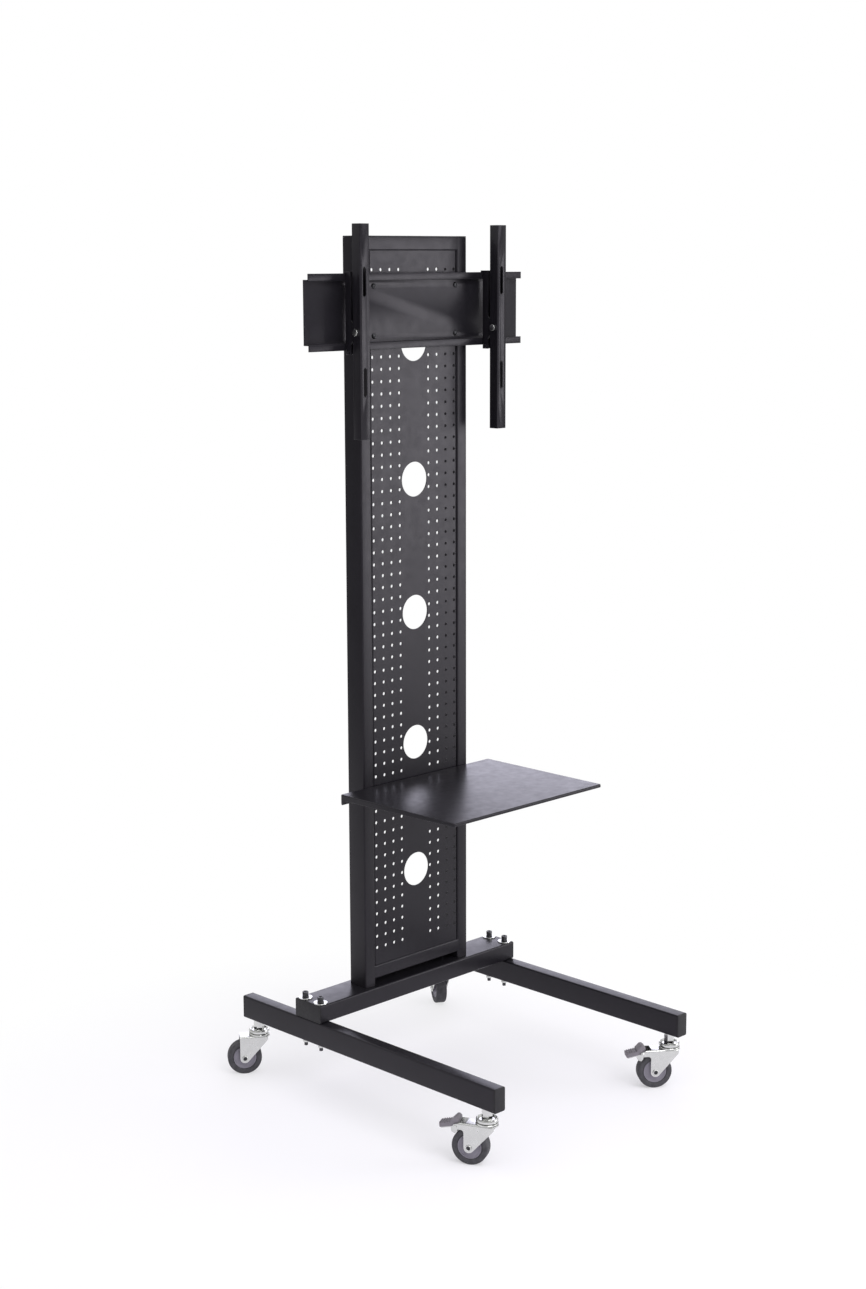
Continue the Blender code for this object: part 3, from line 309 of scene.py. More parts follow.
def loft(loops, closed=False):
    """Closed mesh through loops of equal length; closed joins the last loop to the first."""
    mesh = bmesh.new()
    rings = [[mesh.verts.new(point) for point in loop] for loop in loops]
    pairs = list(zip(rings, rings[1:]))
    if closed:
        pairs.append((rings[-1], rings[0]))
    else:
        mesh.faces.new(rings[0])
        mesh.faces.new(rings[-1])
    for low, high in pairs:
        for i in range(len(low)):
            j = (i + 1) % len(low)
            mesh.faces.new((low[i], low[j], high[j], high[i]))
    bmesh.ops.recalc_face_normals(mesh, faces=mesh.faces)
    return mesh


def stacked(levels, sides=48):
    """Mesh through (radius or outline, height) levels along Z."""
    loops = []
    for outline, height in levels:
        points = outline if isinstance(outline, list) else circle(outline, sides)
        loops.append([Vector((x, y, height)) for x, y in points])
    return loft(loops)


def turned(profile, sides=64):
    """Ring along Z from a closed profile of (radius, height) points."""
    return loft([[Vector((x, y, height)) for x, y in circle(radius, sides)]
                 for radius, height in profile], closed=True)


def prism(outline, low, high):
    """Outline in XY extruded along Z."""
    return loft([[Vector((x, y, z)) for x, y in outline] for z in (low, high)])


def washer(radius, low, high, sides=64):
    """Ring round a base bolt."""
    return turned([(WASHER_HOLE, low), (radius, low), (radius, high), (WASHER_HOLE, high)], sides)


def hexagonal(radius, low, high, sides=36):
    """Six-sided solid along Z, such as a nut."""
    outline = hexagon(radius, sides)
    return stacked([(outline, low), (outline, high)])


def rounded_profile(points, radius, steps=4):
    """Closed profile with each corner rounded."""
    made = []
    for before, corner, after in zip(points[-1:] + points[:-1], points, points[1:] + points[:1]):
        corner = Vector(corner)
        back, ahead = Vector(before) - corner, Vector(after) - corner
        reach = min(radius, back.length * 0.45, ahead.length * 0.45)
        start, end = corner + back.normalized() * reach, corner + ahead.normalized() * reach
        for step in range(steps + 1):
            t = step / steps
            point = start * (1 - t) ** 2 + corner * 2 * t * (1 - t) + end * t ** 2
            made.append((point.x, point.y))
    return made


def moved(mesh, matrix):
    """The same mesh in another place."""
    bmesh.ops.transform(mesh, matrix=matrix, verts=mesh.verts)
    return mesh


def joined(meshes):
    """Several shells in one mesh."""
    whole = bmesh.new()
    for mesh in meshes:
        copy = bpy.data.meshes.new("shell")
        mesh.to_mesh(copy)
        mesh.free()
        whole.from_mesh(copy)
        bpy.data.meshes.remove(copy)
    return whole


def shaped(mesh, steps):
    """The solid after Boolean steps, each an operation and another solid."""
    first = new_object("shape", mesh)
    used = [first]
    for operation, other in steps:
        tool = new_object("tool", other)
        step = first.modifiers.new("step", "BOOLEAN")
        step.operation = operation
        step.solver = "EXACT"
        step.object = tool
        used.append(tool)
    baked(first)
    result = bmesh.new()
    result.from_mesh(first.data)
    for old in used:
        data = old.data
        bpy.data.objects.remove(old)
        bpy.data.meshes.remove(data)
    return result


def merged_copy(node):
    """The node's own shape with its triangles merged into whole faces."""
    mesh = bmesh.new()
    mesh.from_mesh(frame["nodes"][node].data)
    bmesh.ops.remove_doubles(mesh, verts=mesh.verts, dist=SAME_POINT)
    bmesh.ops.dissolve_limit(mesh, angle_limit=math.radians(0.5), verts=mesh.verts, edges=mesh.edges)
    return mesh


def new_object(name, mesh):
    """Object at the origin from a mesh in the making."""
    data = bpy.data.meshes.new(name)
    mesh.to_mesh(data)
    mesh.free()
    made = bpy.data.objects.new(name, data)
    bpy.context.scene.collection.objects.link(made)
    return made


def round_edges(made, width, segments=2):
    """Small rounds along the sharp edges."""
    bevel = made.modifiers.new("rounded edges", "BEVEL")
    bevel.width = width
    bevel.segments = segments
    bevel.limit_method = "ANGLE"
    bevel.angle_limit = BEVEL_ANGLE
    bevel.harden_normals = True


def bound(made, nodes, body=None):
    """Let a piece ride on its body, in place of the nodes."""
    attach(made, body or NODE_BODY[nodes[0]])
    if nodes:
        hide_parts(*nodes)


def painted(made, finish_name, nodes, body):
    """Give a piece its finish and bind it."""
    made.data.materials.clear()
    made.data.materials.append(finish(finish_name))
    bound(made, nodes, body)


def smooth_piece(name, mesh, finish_name, nodes=(), body=None):
    """Finely faceted piece, smooth except across sharp edges."""
    made = new_object(name, mesh)
    made.data.shade_smooth()
    made.data.set_sharp_from_angle(angle=SMOOTH_ANGLE)
    painted(made, finish_name, nodes, body)


def edged_piece(name, mesh, finish_name, nodes=(), width=None, segments=2, body=None):
    """Folded or cut piece whose sharp edges are slightly rounded."""
    made = new_object(name, mesh)
    made.data.shade_smooth()
    round_edges(made, width or bpy.context.scene.stand_sizes.sheet_edge, segments)
    painted(made, finish_name, nodes, body)


def edged_copy(name, node, finish_name, width=None, segments=2):
    """The node's own shape with its sharp edges slightly rounded."""
    edged_piece(name, merged_copy(node), finish_name, [node], width, segments)


def along_axis(along, middle, sections):
    """Mesh through (outline, place) sections along axis 0, 1 or 2."""
    across = [axis for axis in range(3) if axis != along]
    loops = []
    for outline, place in sections:
        loop = []
        for a, b in outline:
            point = Vector(ORIGIN)
            point[along] = place
            point[across[0]] = middle[across[0]] + a
            point[across[1]] = middle[across[1]] + b
            loop.append(point)
        loops.append(loop)
    return loft(loops)


def floor_point(low, high, behind=0.0):
    """Point on the floor below the middle of a box, or this far behind it."""
    return Vector(((low.x + high.x) / 2, (low.y + high.y) / 2 + behind, 0.0))


def tube_over(name, node, along, reach=0.0, proud=0.0):
    """Bar with round corners over a tube's box, perhaps longer at both ends and proud in front."""
    low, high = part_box(node)
    low[along] -= reach
    high[along] += reach
    low.y -= proud
    size, middle = high - low, (low + high) / 2
    across = [axis for axis in range(3) if axis != along]
    outline = rounded_rectangle(size[across[0]], size[across[1]],
                                bpy.context.scene.stand_sizes.tube_corner)
    bar = along_axis(along, middle, [(outline, low[along]), (outline, high[along])])
    smooth_piece(name, bar, "powder_coat", [node])


def plug_over(name, node, along, outward):
    """Plug in a tube's end: a core inside it and a flange with a rounded face outside."""
    sizes = bpy.context.scene.stand_sizes
    low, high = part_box(node)
    size, middle = high - low, (low + high) / 2
    width, height = [size[axis] for axis in range(3) if axis != along]
    inner, face = (low[along], high[along]) if outward > 0 else (high[along], low[along])
    seat_place = face - outward * sizes.flange
    play, edge, steps = 0.0046, 0.0014, 4
    core = rounded_rectangle(width - play, height - play, 0.0012)
    full = rounded_rectangle(width, height, sizes.tube_corner)
    sections = [(core, inner), (core, seat_place), (full, seat_place)]
    for step in range(steps + 1):
        turn = QUARTER * step / steps
        inset = edge * (1 - math.cos(turn))
        sections.append((rounded_rectangle(width - 2 * inset, height - 2 * inset,
                                           sizes.tube_corner - inset),
                         face - outward * edge * (1 - math.sin(turn))))
    smooth_piece(name, along_axis(along, middle, sections), "plug_plastic", [node])


def caster_frame(corner):
    """Matrix of a caster: origin on the floor below its swivel axis, +X the way the wheel trails."""
    swivel = Vector(JOINTS[corner + "_swivel"]["pos_m"])
    axle = Vector(JOINTS[corner + "_roll"]["pos_m"])
    turn = math.atan2(axle.y - swivel.y, axle.x - swivel.x)
    return Matrix.Translation((swivel.x, swivel.y, 0.0)) @ Matrix.Rotation(turn, 4, "Z")


def caster_trail(corner):
    """Distance of the axle behind the swivel axis."""
    swivel = Vector(JOINTS[corner + "_swivel"]["pos_m"])
    axle = Vector(JOINTS[corner + "_roll"]["pos_m"])
    return (axle.xy - swivel.xy).length


def axle_frame(corner):
    """Matrix that lays a piece turned about Z along the caster's axle."""
    lift = Matrix.Translation((caster_trail(corner), 0.0, JOINTS[corner + "_roll"]["pos_m"][2]))
    return caster_frame(corner) @ lift @ Matrix.Rotation(QUARTER, 4, "X")


def new_group(name, inputs):
    """Geometry node group with these inputs, and the sockets that give them."""
    group = bpy.data.node_groups.new(name, "GeometryNodeTree")
    for socket, kind in inputs:
        group.interface.new_socket(socket, in_out="INPUT", socket_type="NodeSocket" + kind)
    group.interface.new_socket("Geometry", in_out="OUTPUT", socket_type="NodeSocketGeometry")
    return group, added(group, "NodeGroupInput").outputs


def end_group(group, geometry, material):
    """Realise the copies, set the material and give the geometry out."""
    real = added(group, "GeometryNodeRealizeInstances", [("Geometry", geometry)])
    paint = added(group, "GeometryNodeSetMaterial", [
        ("Geometry", real.outputs["Geometry"]), ("Material", material)])
    added(group, "NodeGroupOutput", [("Geometry", paint.outputs["Geometry"])])
    return group


def instances(group, points, instance):
    """A copy on every point."""
    copies = added(group, "GeometryNodeInstanceOnPoints", [("Points", points), ("Instance", instance)])
    return copies.outputs["Instances"]


def set_input(modifier, name, value):
    """Set a modifier's input by the identifier of the socket with this name."""
    for item in modifier.node_group.interface.items_tree:
        if item.item_type == "SOCKET" and item.in_out == "INPUT" and item.name == name:
            modifier[item.identifier] = value
            return
    raise KeyError(name)


def baked(made):
    """The object's evaluated mesh in place of its node modifiers."""
    bpy.context.view_layer.update()
    graph = bpy.context.evaluated_depsgraph_get()
    data = bpy.data.meshes.new_from_object(made.evaluated_get(graph))
    made.modifiers.clear()
    made.data = data
    return made


def copies_tree():
    """Geometry nodes that set a part on every point and realise the copies."""
    if "Part on points" in bpy.data.node_groups:
        return bpy.data.node_groups["Part on points"]
    group, source = new_group("Part on points", [
        ("Points", "Geometry"), ("Part", "Object"), ("Finish", "Material")])
    part = added(group, "GeometryNodeObjectInfo", [("Object", source["Part"])])
    copies = instances(group, source["Points"], part.outputs["Geometry"])
    return end_group(group, copies, source["Finish"])


def copies_at(name, mesh, places, finish_name, nodes=(), body=None, edge=0.0):
    """One piece made of copies of a small part at each place."""
    part = new_object(name + "_part", mesh)
    part.data.shade_smooth()
    if edge:
        round_edges(part, edge)
        baked(part)
    part.data.set_sharp_from_angle(angle=SMOOTH_ANGLE)
    points = bmesh.new()
    for place in places:
        points.verts.new(place)
    made = new_object(name, points)
    modifier = made.modifiers.new("copies", "NODES")
    modifier.node_group = copies_tree()
    set_input(modifier, "Part", part)
    set_input(modifier, "Finish", finish(finish_name))
    baked(made)
    bpy.data.objects.remove(part)
    bound(made, nodes, body)


def perforation_tree():
    """Geometry nodes that cut round holes in a sheet and join it to its folded edges."""
    lengths = ("Width", "Height", "Thickness", "Hole radius", "Pitch", "Inner column",
               "Cable hole radius", "Cable spacing")
    group, source = new_group("Perforated sheet", [
        ("Folds", "Geometry"), *[(name, "Float") for name in lengths], ("Columns", "Int"),
        ("Rows", "Int"), ("Cable holes", "Int"), ("Middle", "Vector"), ("Finish", "Material")])

    def less_one(count):
        """Number of steps between this many holes."""
        return calculated(group, "SUBTRACT", count, 1)

    def times(first, second):
        """Product of two numbers or sockets."""
        return calculated(group, "MULTIPLY", first, second)

    def vector(x=0.0, y=0.0):
        """Vector in the sheet's plane from numbers or sockets."""
        return added(group, "ShaderNodeCombineXYZ", [(0, x), (1, y)]).outputs["Vector"]

    def circles_on(points, radius, resolution):
        """A circle on every point."""
        ring = added(group, "GeometryNodeCurvePrimitiveCircle", [
            ("Resolution", resolution), ("Radius", radius)])
        return instances(group, points, ring.outputs["Curve"])

    def shifted(geometry, translation, turn=ORIGIN):
        """Geometry in another place."""
        return added(group, "GeometryNodeTransform", [
            ("Geometry", geometry), ("Translation", translation), ("Rotation", turn)]).outputs["Geometry"]

    def together(*parts):
        """Several geometries in one."""
        join = added(group, "GeometryNodeJoinGeometry", [("Geometry", part) for part in parts])
        return join.outputs["Geometry"]

    columns, rows, pitch = source["Columns"], source["Rows"], source["Pitch"]
    count, spacing = source["Cable holes"], source["Cable spacing"]
    wide = times(less_one(columns), pitch)
    grid = added(group, "GeometryNodeMeshGrid", [
        ("Size X", wide), ("Size Y", times(less_one(rows), pitch)), ("Vertices X", columns),
        ("Vertices Y", rows)]).outputs["Mesh"]
    beside = calculated(group, "ADD", source["Inner column"], times(wide, 0.5))
    outline = added(group, "GeometryNodeCurvePrimitiveQuadrilateral", [
        ("Width", source["Width"]), ("Height", source["Height"])]).outputs["Curve"]
    lowest = times(times(less_one(count), -0.5), spacing)
    line = added(group, "GeometryNodeMeshLine", [
        ("Count", count), ("Start Location", vector(0.0, lowest)),
        ("Offset", vector(0.0, spacing))]).outputs["Mesh"]
    small = [circles_on(shifted(grid, vector(times(beside, side))), source["Hole radius"], 20)
             for side in (-1, 1)]
    cable = circles_on(line, source["Cable hole radius"], 72)
    real = added(group, "GeometryNodeRealizeInstances", [("Geometry", together(outline, *small, cable))])
    fill = added(group, "GeometryNodeFillCurve", [("Curve", real.outputs["Geometry"])]).outputs["Mesh"]
    front = added(group, "GeometryNodeExtrudeMesh", [
        ("Individual", False), ("Mesh", fill), ("Offset Scale", source["Thickness"])])
    back = added(group, "GeometryNodeFlipFaces", [("Mesh", fill)])
    closed = added(group, "GeometryNodeMergeByDistance", [
        ("Geometry", together(front.outputs["Mesh"], back.outputs["Mesh"])), ("Distance", SAME_POINT)])
    standing = shifted(closed.outputs["Geometry"], source["Middle"], (QUARTER, 0.0, 0.0))
    return end_group(group, together(standing, source["Folds"]), source["Finish"])


class STAND_OT_feet(bpy.types.Operator):
    """Foot tubes and crossbar with their end plugs"""

    bl_idname = "stand.feet"
    bl_label = "Feet and crossbar"

    def execute(self, context):
        for hand in HANDS:
            tube_over(hand + "_foot_tube", hand + "_leg", 1)
            for end, outward in (("front", -1), ("rear", 1)):
                plug_over(f"{end}_{hand}_foot_cap", f"{end}_{hand}_leg_plug", 1, outward)
        for hand, outward in (("left", -1), ("right", 1)):
            plug_over(hand + "_crossbar_cap", hand + "_crossbar_plug", 0, outward)
        tube_over("cross_tube", "crossbar", 0)
        return {"FINISHED"}


class STAND_OT_column(bpy.types.Operator):
    """Uprights with their top plugs, and the rails between them"""

    bl_idname = "stand.column"
    bl_label = "Column"

    def execute(self, context):
        corner = context.scene.stand_sizes.tube_corner
        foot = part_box("crossbar")[1].z
        for hand in HANDS:
            node = hand + "_upright"
            low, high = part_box(node)
            low.z = foot + GAP
            outline = rounded_rectangle(high.x - low.x, high.y - low.y, corner)
            bar = moved(prism(outline, low.z, high.z), Matrix.Translation(floor_point(low, high)))
            smooth_piece(hand + "_column_tube", bar, "powder_coat", [node])
            plug_over(hand + "_column_cap", hand + "_upright_plug", 2, 1)
        tube_over("lower_column_rail", "bottom_rail", 0, corner, 0.00005)
        tube_over("upper_column_rail", "top_rail", 0, corner, 0.00005)
        self.slot_cover(foot)
        return {"FINISHED"}

    def slot_cover(self, foot):
        """Folded strip that closes the back of the slot below the lower rail, put in so that the slot is dark: a
        sheet that stands in for the shade in the slot.
        """
        overlap, sheet, reach = 0.0002, 0.0015, 0.008
        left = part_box("left_upright")[1].x - overlap
        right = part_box("right_upright")[0].x + overlap
        low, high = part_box("bottom_rail")
        back, under, foot = high.y - 0.0005, low.z - GAP, foot + GAP
        front, inside = back - reach, back - sheet
        section = [(front, foot), (back, foot), (back, under), (front, under), (front, under - sheet),
                   (inside, under - sheet), (inside, foot + sheet), (front, foot + sheet)]
        edged_piece("slot_cover", along_axis(0, ORIGIN, [(section, left), (section, right)]),
                    "powder_coat", body="stand", width=0.0004)


class STAND_OT_panel(bpy.types.Operator):
    """Perforated sheet with its cable holes and folded sides"""

    bl_idname = "stand.panel"
    bl_label = "Perforated panel"

    def execute(self, context):
        sizes = context.scene.stand_sizes
        low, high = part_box("perforated_panel")
        bend, past_rails = 0.0028, 0.0007
        folds = []
        for side, edge in ((-1, low.x), (1, high.x)):
            middle = (edge - side * bend, low.y + bend)
            start, end = (-math.pi / 2, 0.0) if side > 0 else (-math.pi / 2, -math.pi)
            outer = arc(middle, bend, start, end, 6) + [(edge, high.y)]
            inner = arc(middle, bend - sizes.sheet, start, end, 6)
            inner.append((edge - side * sizes.sheet, high.y))
            folds.append(prism(outer + inner[::-1], low.z, high.z))
        made = new_object("perforated_sheet", joined(folds))
        modifier = made.modifiers.new("perforation", "NODES")
        modifier.node_group = perforation_tree()
        values = {
            "Width": high.x - low.x - 2 * bend, "Height": high.z - low.z + past_rails,
            "Thickness": sizes.sheet,
            "Hole radius": sizes.hole_diameter / 2, "Pitch": sizes.hole_pitch,
            "Inner column": sizes.hole_inner, "Cable hole radius": sizes.cable_hole / 2,
            "Cable spacing": sizes.cable_spacing, "Columns": sizes.hole_columns,
            "Rows": sizes.hole_rows, "Cable holes": 5,
            "Middle": (0.0, low.y + sizes.sheet, (low.z + high.z) / 2), "Finish": finish("powder_coat"),
        }
        for name, value in values.items():
            set_input(modifier, name, value)
        baked(made)
        made.data.shade_smooth()
        made.data.set_sharp_from_angle(angle=SMOOTH_ANGLE)
        bound(made, ["perforated_panel"])
        return {"FINISHED"}


class STAND_OT_shelf(bpy.types.Operator):
    """Folded sheet-metal shelf"""

    bl_idname = "stand.shelf"
    bl_label = "Shelf"

    def execute(self, context):
        edged_copy("shelf_tray", "shelf", "powder_coat", 0.0012, 4)
        return {"FINISHED"}


class STAND_OT_bracket(bpy.types.Operator):
    """Hook rail, hooks and slotted arms that carry the screen"""

    bl_idname = "stand.bracket"
    bl_label = "Screen bracket"

    def execute(self, context):
        edged_copy("wall_rail", "hook_rail", "powder_coat")
        for hand in HANDS:
            edged_copy(hand + "_rail_hook", hand + "_hook", "powder_coat")
            edged_copy(hand + "_slotted_arm", hand + "_screen_arm", "powder_coat")
            edged_copy(hand + "_tilt_bolt", hand + "_tilt_pivot", "zinc_plate", 0.0005)
        return {"FINISHED"}


class STAND_OT_fasteners(bpy.types.Operator):
    """Bolts, washers, nuts and screws of the frame"""

    bl_idname = "stand.fasteners"
    bl_label = "Fasteners"

    def execute(self, context):
        corners = [corner + "_base_bolt" for corner in CORNERS]
        boxes = [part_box(node) for node in corners]
        places = [floor_point(*box) for box in boxes]
        top, bottom = boxes[0][1].z, boxes[0][0].z
        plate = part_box("crossbar")[1].z + GAP
        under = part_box("left_leg")[0].z - GAP
        sizes = context.scene.stand_sizes
        seat_height = top - sizes.head_height
        shank, head, sides = 0.004, 0.0065, 36
        socket, socket_depth = hexagon(0.0035, sides), 0.004
        bolt = stacked([(shank, bottom), (shank, seat_height), (head, seat_height), (head, top),
                        (socket, top), (socket, top - socket_depth)], sides)
        copies_at("base_bolts", bolt, places, "black_screw", corners, edge=0.0005)
        plain = washer(sizes.washer_radius, plate, plate + 0.002)
        spring = washer(0.0068, plate + 0.0021, seat_height, 40)
        flat = washer(0.0095, under - 0.0014, under, 48)
        nut = hexagonal(0.0075, under - 0.008, under - 0.0015)
        for name, part, finish_name, edge in (("large_washers", plain, "zinc_plate", 0.0003),
                                              ("spring_washers", spring, "black_screw", 0.0003),
                                              ("lower_washers", flat, "zinc_plate", 0.0003),
                                              ("base_nuts", nut, "zinc_plate", 0.0006)):
            copies_at(name, part, places, finish_name, body="stand", edge=edge)
        column_places = [floor_point(*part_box(hand + "_upright"), behind)
                         for hand in HANDS for behind in (-0.011, 0.011)]
        low_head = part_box("left_upright")[0].z
        hex_head = hexagonal(0.0075, low_head, low_head + 0.0053)
        copies_at("column_bolts", hex_head, column_places, "black_screw", body="stand", edge=0.0005)
        for kind in ("shelf", "rail"):
            self.screws(kind + "_screws", [f"{kind}_screw_{n}" for n in (1, 2, 3, 4)])
        return {"FINISHED"}

    def screws(self, name, nodes):
        """Button-head screws through the sheet, with a nut behind each."""
        low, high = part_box(nodes[0])
        length = high.y - low.y
        boxes = [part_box(node) for node in nodes]
        places = [Vector(((a.x + b.x) / 2, a.y, (a.z + b.z) / 2)) for a, b in boxes]
        lay = Matrix.Rotation(-QUARTER, 4, "X")
        shank, head, seat, sides = 0.0025, 0.0055, 0.0033, 30
        socket = hexagon(0.0016, sides)
        screw = stacked([(socket, 0.0016), (socket, 0.0), (0.003, 0.0), (head, 0.0022), (head, seat),
                         (shank, seat), (shank, length)], sides)
        copies_at(name, moved(screw, lay), places, "black_screw", nodes, edge=0.0003)
        nut = hexagonal(0.0047, length - 0.004, length - 0.0001, sides)
        copies_at(name + "_nuts", moved(nut, lay), places, "zinc_plate", body="stand", edge=0.0004)


class STAND_OT_casters(bpy.types.Operator):
    """Stems, forks, axles and wheels of the four casters"""

    bl_idname = "stand.casters"
    bl_label = "Casters"

    def execute(self, context):
        for corner in CORNERS:
            self.stem(corner)
            self.fork(corner)
            self.axle(corner)
            self.wheel(corner, context.scene.stand_sizes.wheel_radius)
        return {"FINISHED"}

    def stem(self, corner):
        """Upper race cup and nut on the riveted stem."""
        node = corner + "_caster_stem"
        low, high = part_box(node)
        race_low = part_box(corner + "_fork")[1].z + GAP
        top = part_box("left_leg")[0].z - GAP
        sides, rivet, shank = 48, 0.009, 0.006
        nut = hexagon(0.0115, sides)
        cup = [(0.0195, 0.0), (0.0215, 0.0012), (0.0226, 0.0032), (0.0227, 0.0062), (0.0218, 0.0084),
               (0.02, 0.0092), (0.0184, 0.0086), (0.0154, 0.0056), (nut, 0.0056)]
        levels = [(rivet, low.z), (rivet, low.z + 0.0025), (shank, low.z + 0.0025), (shank, race_low)]
        levels += [(outline, race_low + height) for outline, height in cup]
        levels += [(nut, top), (shank, top), (shank, high.z)]
        place = caster_frame(corner)
        edged_piece(corner + "_stem_and_cup", moved(stacked(levels, sides), place), "bright_zinc",
                    [node], 0.0004)

    def side_view(self, corner, top):
        """Outline of the fork from the side: round end at the axle, and ears where it has a brake."""
        trail, axle_height = caster_trail(corner), JOINTS[corner + "_roll"]["pos_m"][2]
        rise, run = FORK_SHOULDER[1] - axle_height, FORK_SHOULDER[0] - trail
        start = math.atan2(rise, run) + math.acos(FORK_END / math.hypot(rise, run))
        points = [(-FORK_FRONT, top), (-FORK_FRONT, top - 0.0026), FORK_SHOULDER]
        points += arc((trail, axle_height), FORK_END, start, 2 * math.pi, 20)
        if corner in BRAKED:
            fillet = (trail + FORK_END + FORK_FILLET, PIN_HEIGHT - EAR_RADIUS - FORK_FILLET)
            points += arc(fillet, FORK_FILLET, math.pi, math.pi / 2, 8)
            points += arc((trail + PIN_BEHIND_AXLE, PIN_HEIGHT), EAR_RADIUS, -math.pi / 2, math.pi / 2, 14)
            points += [(trail + EAR_START, top)]
        else:
            points += [(trail + FORK_END, top)]
        return points

    def fork(self, corner):
        """Stamped fork, folded at its top edges and round in front, with its lower race."""
        sizes = bpy.context.scene.stand_sizes
        node = corner + "_fork"
        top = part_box(node)[1].z - sizes.race_height
        inner, sheet, bend = sizes.fork_inner, sizes.fork_sheet, FORK_BEND
        outer, trail = inner + sheet, caster_trail(corner)
        fold = [(outer, 0.0)] + arc((outer - bend, top - bend), bend, 0.0, math.pi / 2, 6)
        fold += arc((bend - outer, top - bend), bend, math.pi / 2, math.pi, 6) + [(-outer, 0.0)]
        under = bend - sheet
        fold += [(-inner, 0.0)] + arc((bend - outer, top - bend), under, math.pi, math.pi / 2, 4)
        fold += arc((outer - bend, top - bend), under, math.pi / 2, 0.0, 4) + [(inner, 0.0)]
        channel = along_axis(0, ORIGIN, [(fold, -0.04), (fold, PAST_FORK)])
        side = along_axis(1, ORIGIN, [(self.side_view(corner, top + 0.0001), y)
                                      for y in (-0.03, 0.03)])
        plan = arc((0.0, 0.0), FORK_FRONT, math.pi / 2, math.pi * 3 / 2, 32)
        plan += [(PAST_FORK, -FORK_FRONT), (PAST_FORK, FORK_FRONT)]
        bore, stem_hole = circle(AXLE_BORE, 32), circle(STEM_HOLE, 32)
        axle_place = (trail, 0.0, JOINTS[corner + "_roll"]["pos_m"][2])
        steps = [("INTERSECT", side), ("INTERSECT", prism(plan, -CUT_REACH, 0.1)),
                 ("DIFFERENCE", along_axis(1, axle_place, [(bore, -0.03), (bore, 0.03)])),
                 ("DIFFERENCE", prism(stem_hole, top - CUT_REACH, top + CUT_REACH))]
        if corner in BRAKED:
            rear = trail + FORK_END - sheet
            gap = [(rear, -inner), (PAST_FORK, -inner), (PAST_FORK, inner), (rear, inner)]
            steps.append(("DIFFERENCE", prism(gap, 0.0, 0.1)))
        race = stacked([(0.0205, top - 0.0004), (0.0222, top + 0.0006), (0.023, top + 0.0018),
                        (0.0229, top + 0.003), (0.0214, top + sizes.race_height)])
        race = shaped(race, [("DIFFERENCE", prism(stem_hole, top - CUT_REACH, top + CUT_REACH))])
        edged_piece(corner + "_lower_race", moved(race, caster_frame(corner)), "bright_zinc",
                    body=NODE_BODY[node], width=0.0003)
        shells = [shaped(channel, steps)]
        if corner in BRAKED:
            shaft, flat, wide, inset = 0.002, 0.0026, 0.0035, 0.0005
            head, seat = outer + 0.0015, outer - inset
            half = [(shaft, seat), (wide, seat), (wide, head - 0.0006), (flat, head)]
            pin = stacked([(r, -z) for r, z in half[::-1]] + half, 28)
            lay = Matrix.Translation((trail + PIN_BEHIND_AXLE, 0.0, PIN_HEIGHT))
            shells.append(moved(pin, lay @ Matrix.Rotation(QUARTER, 4, "X")))
        whole = moved(joined(shells), caster_frame(corner))
        edged_piece(corner + "_stamped_fork", whole, "zinc_plate", [node], 0.0004)

    def axle(self, corner):
        """Axle with its sleeve and with a hollow riveted head outside each cheek, and a dark core in each hollow
        that stands in for the shade there.
        """
        half = [(0.0036, 0.0165), (0.004, 0.0188), (0.0045, 0.0195), (0.0056, 0.0195),
                (0.0062, 0.0191), (0.0065, 0.0184), (0.0065, 0.0175), (0.004, 0.0175),
                (0.004, 0.0144), (0.006, 0.0144)]
        levels = [(r, -z) for r, z in half] + half[::-1]
        place = axle_frame(corner)
        smooth_piece(corner + "_axle_rivet", moved(stacked(levels), place), "zinc_plate",
                     [corner + "_axle"])
        # Dark steel cores in the hollow heads, put there to make the hollows dark: they stand in for the shade
        # inside each head.
        shade_cores = [stacked([(0.0034, side * 0.0158), (0.0036, side * 0.0171), (0.0016, side * 0.0167)], 24)
                for side in (-1, 1)]
        smooth_piece(corner + "_axle_core", moved(joined(shade_cores), place), "black_screw",
                     body=NODE_BODY[corner + "_axle"])

    def wheel(self, corner, radius):
        """Wheel body and tyre, turned about the axle."""
        place = axle_frame(corner)
        half = [(0.0064, 0.0143), (0.0096, 0.0143), (0.0102, 0.0137), (0.0106, 0.01), (0.0114, 0.0096),
                (0.0212, 0.0096), (0.022, 0.0099), (0.0226, 0.0108), (0.0248, 0.0108)]
        body = turned(half + [(r, -z) for r, z in reversed(half)])
        smooth_piece(corner + "_wheel_body", moved(body, place), "wheel_plastic", [corner + "_hub"])
        side, seat = 0.0125, 0.0251
        tread = rounded_profile([(seat, -side), (radius, -side), (radius, side), (seat, side)], 0.0042, 5)
        smooth_piece(corner + "_tread", moved(turned(tread, 96), place), "tyre_rubber",
                     [corner + "_tyre"])


class STAND_OT_brakes(bpy.types.Operator):
    """Brake levers and ribbed pedals of the front casters"""

    bl_idname = "stand.brakes"
    bl_label = "Brakes"

    def execute(self, context):
        for corner in BRAKED:
            edged_copy(corner + "_brake_shoe", corner + "_brake_lever", "zinc_plate", 0.0004)
            pedal = corner + "_brake_pedal"
            place = caster_frame(corner)
            own = [place.inverted() @ vert.co for vert in frame["nodes"][pedal].data.vertices]
            near, far = min(point.x for point in own), max(point.x for point in own)
            width = 2 * max(point.y for point in own)
            plan = [(x + (near + far) / 2, y)
                    for x, y in rounded_rectangle(far - near, width, 0.0055, 8)]
            pad = shaped(merged_copy(pedal), [("INTERSECT", moved(prism(plan, 0.0, 0.2), place))])
            edged_piece(corner + "_ribbed_pedal", pad, "pedal_plastic", [pedal], 0.0005)
        return {"FINISHED"}


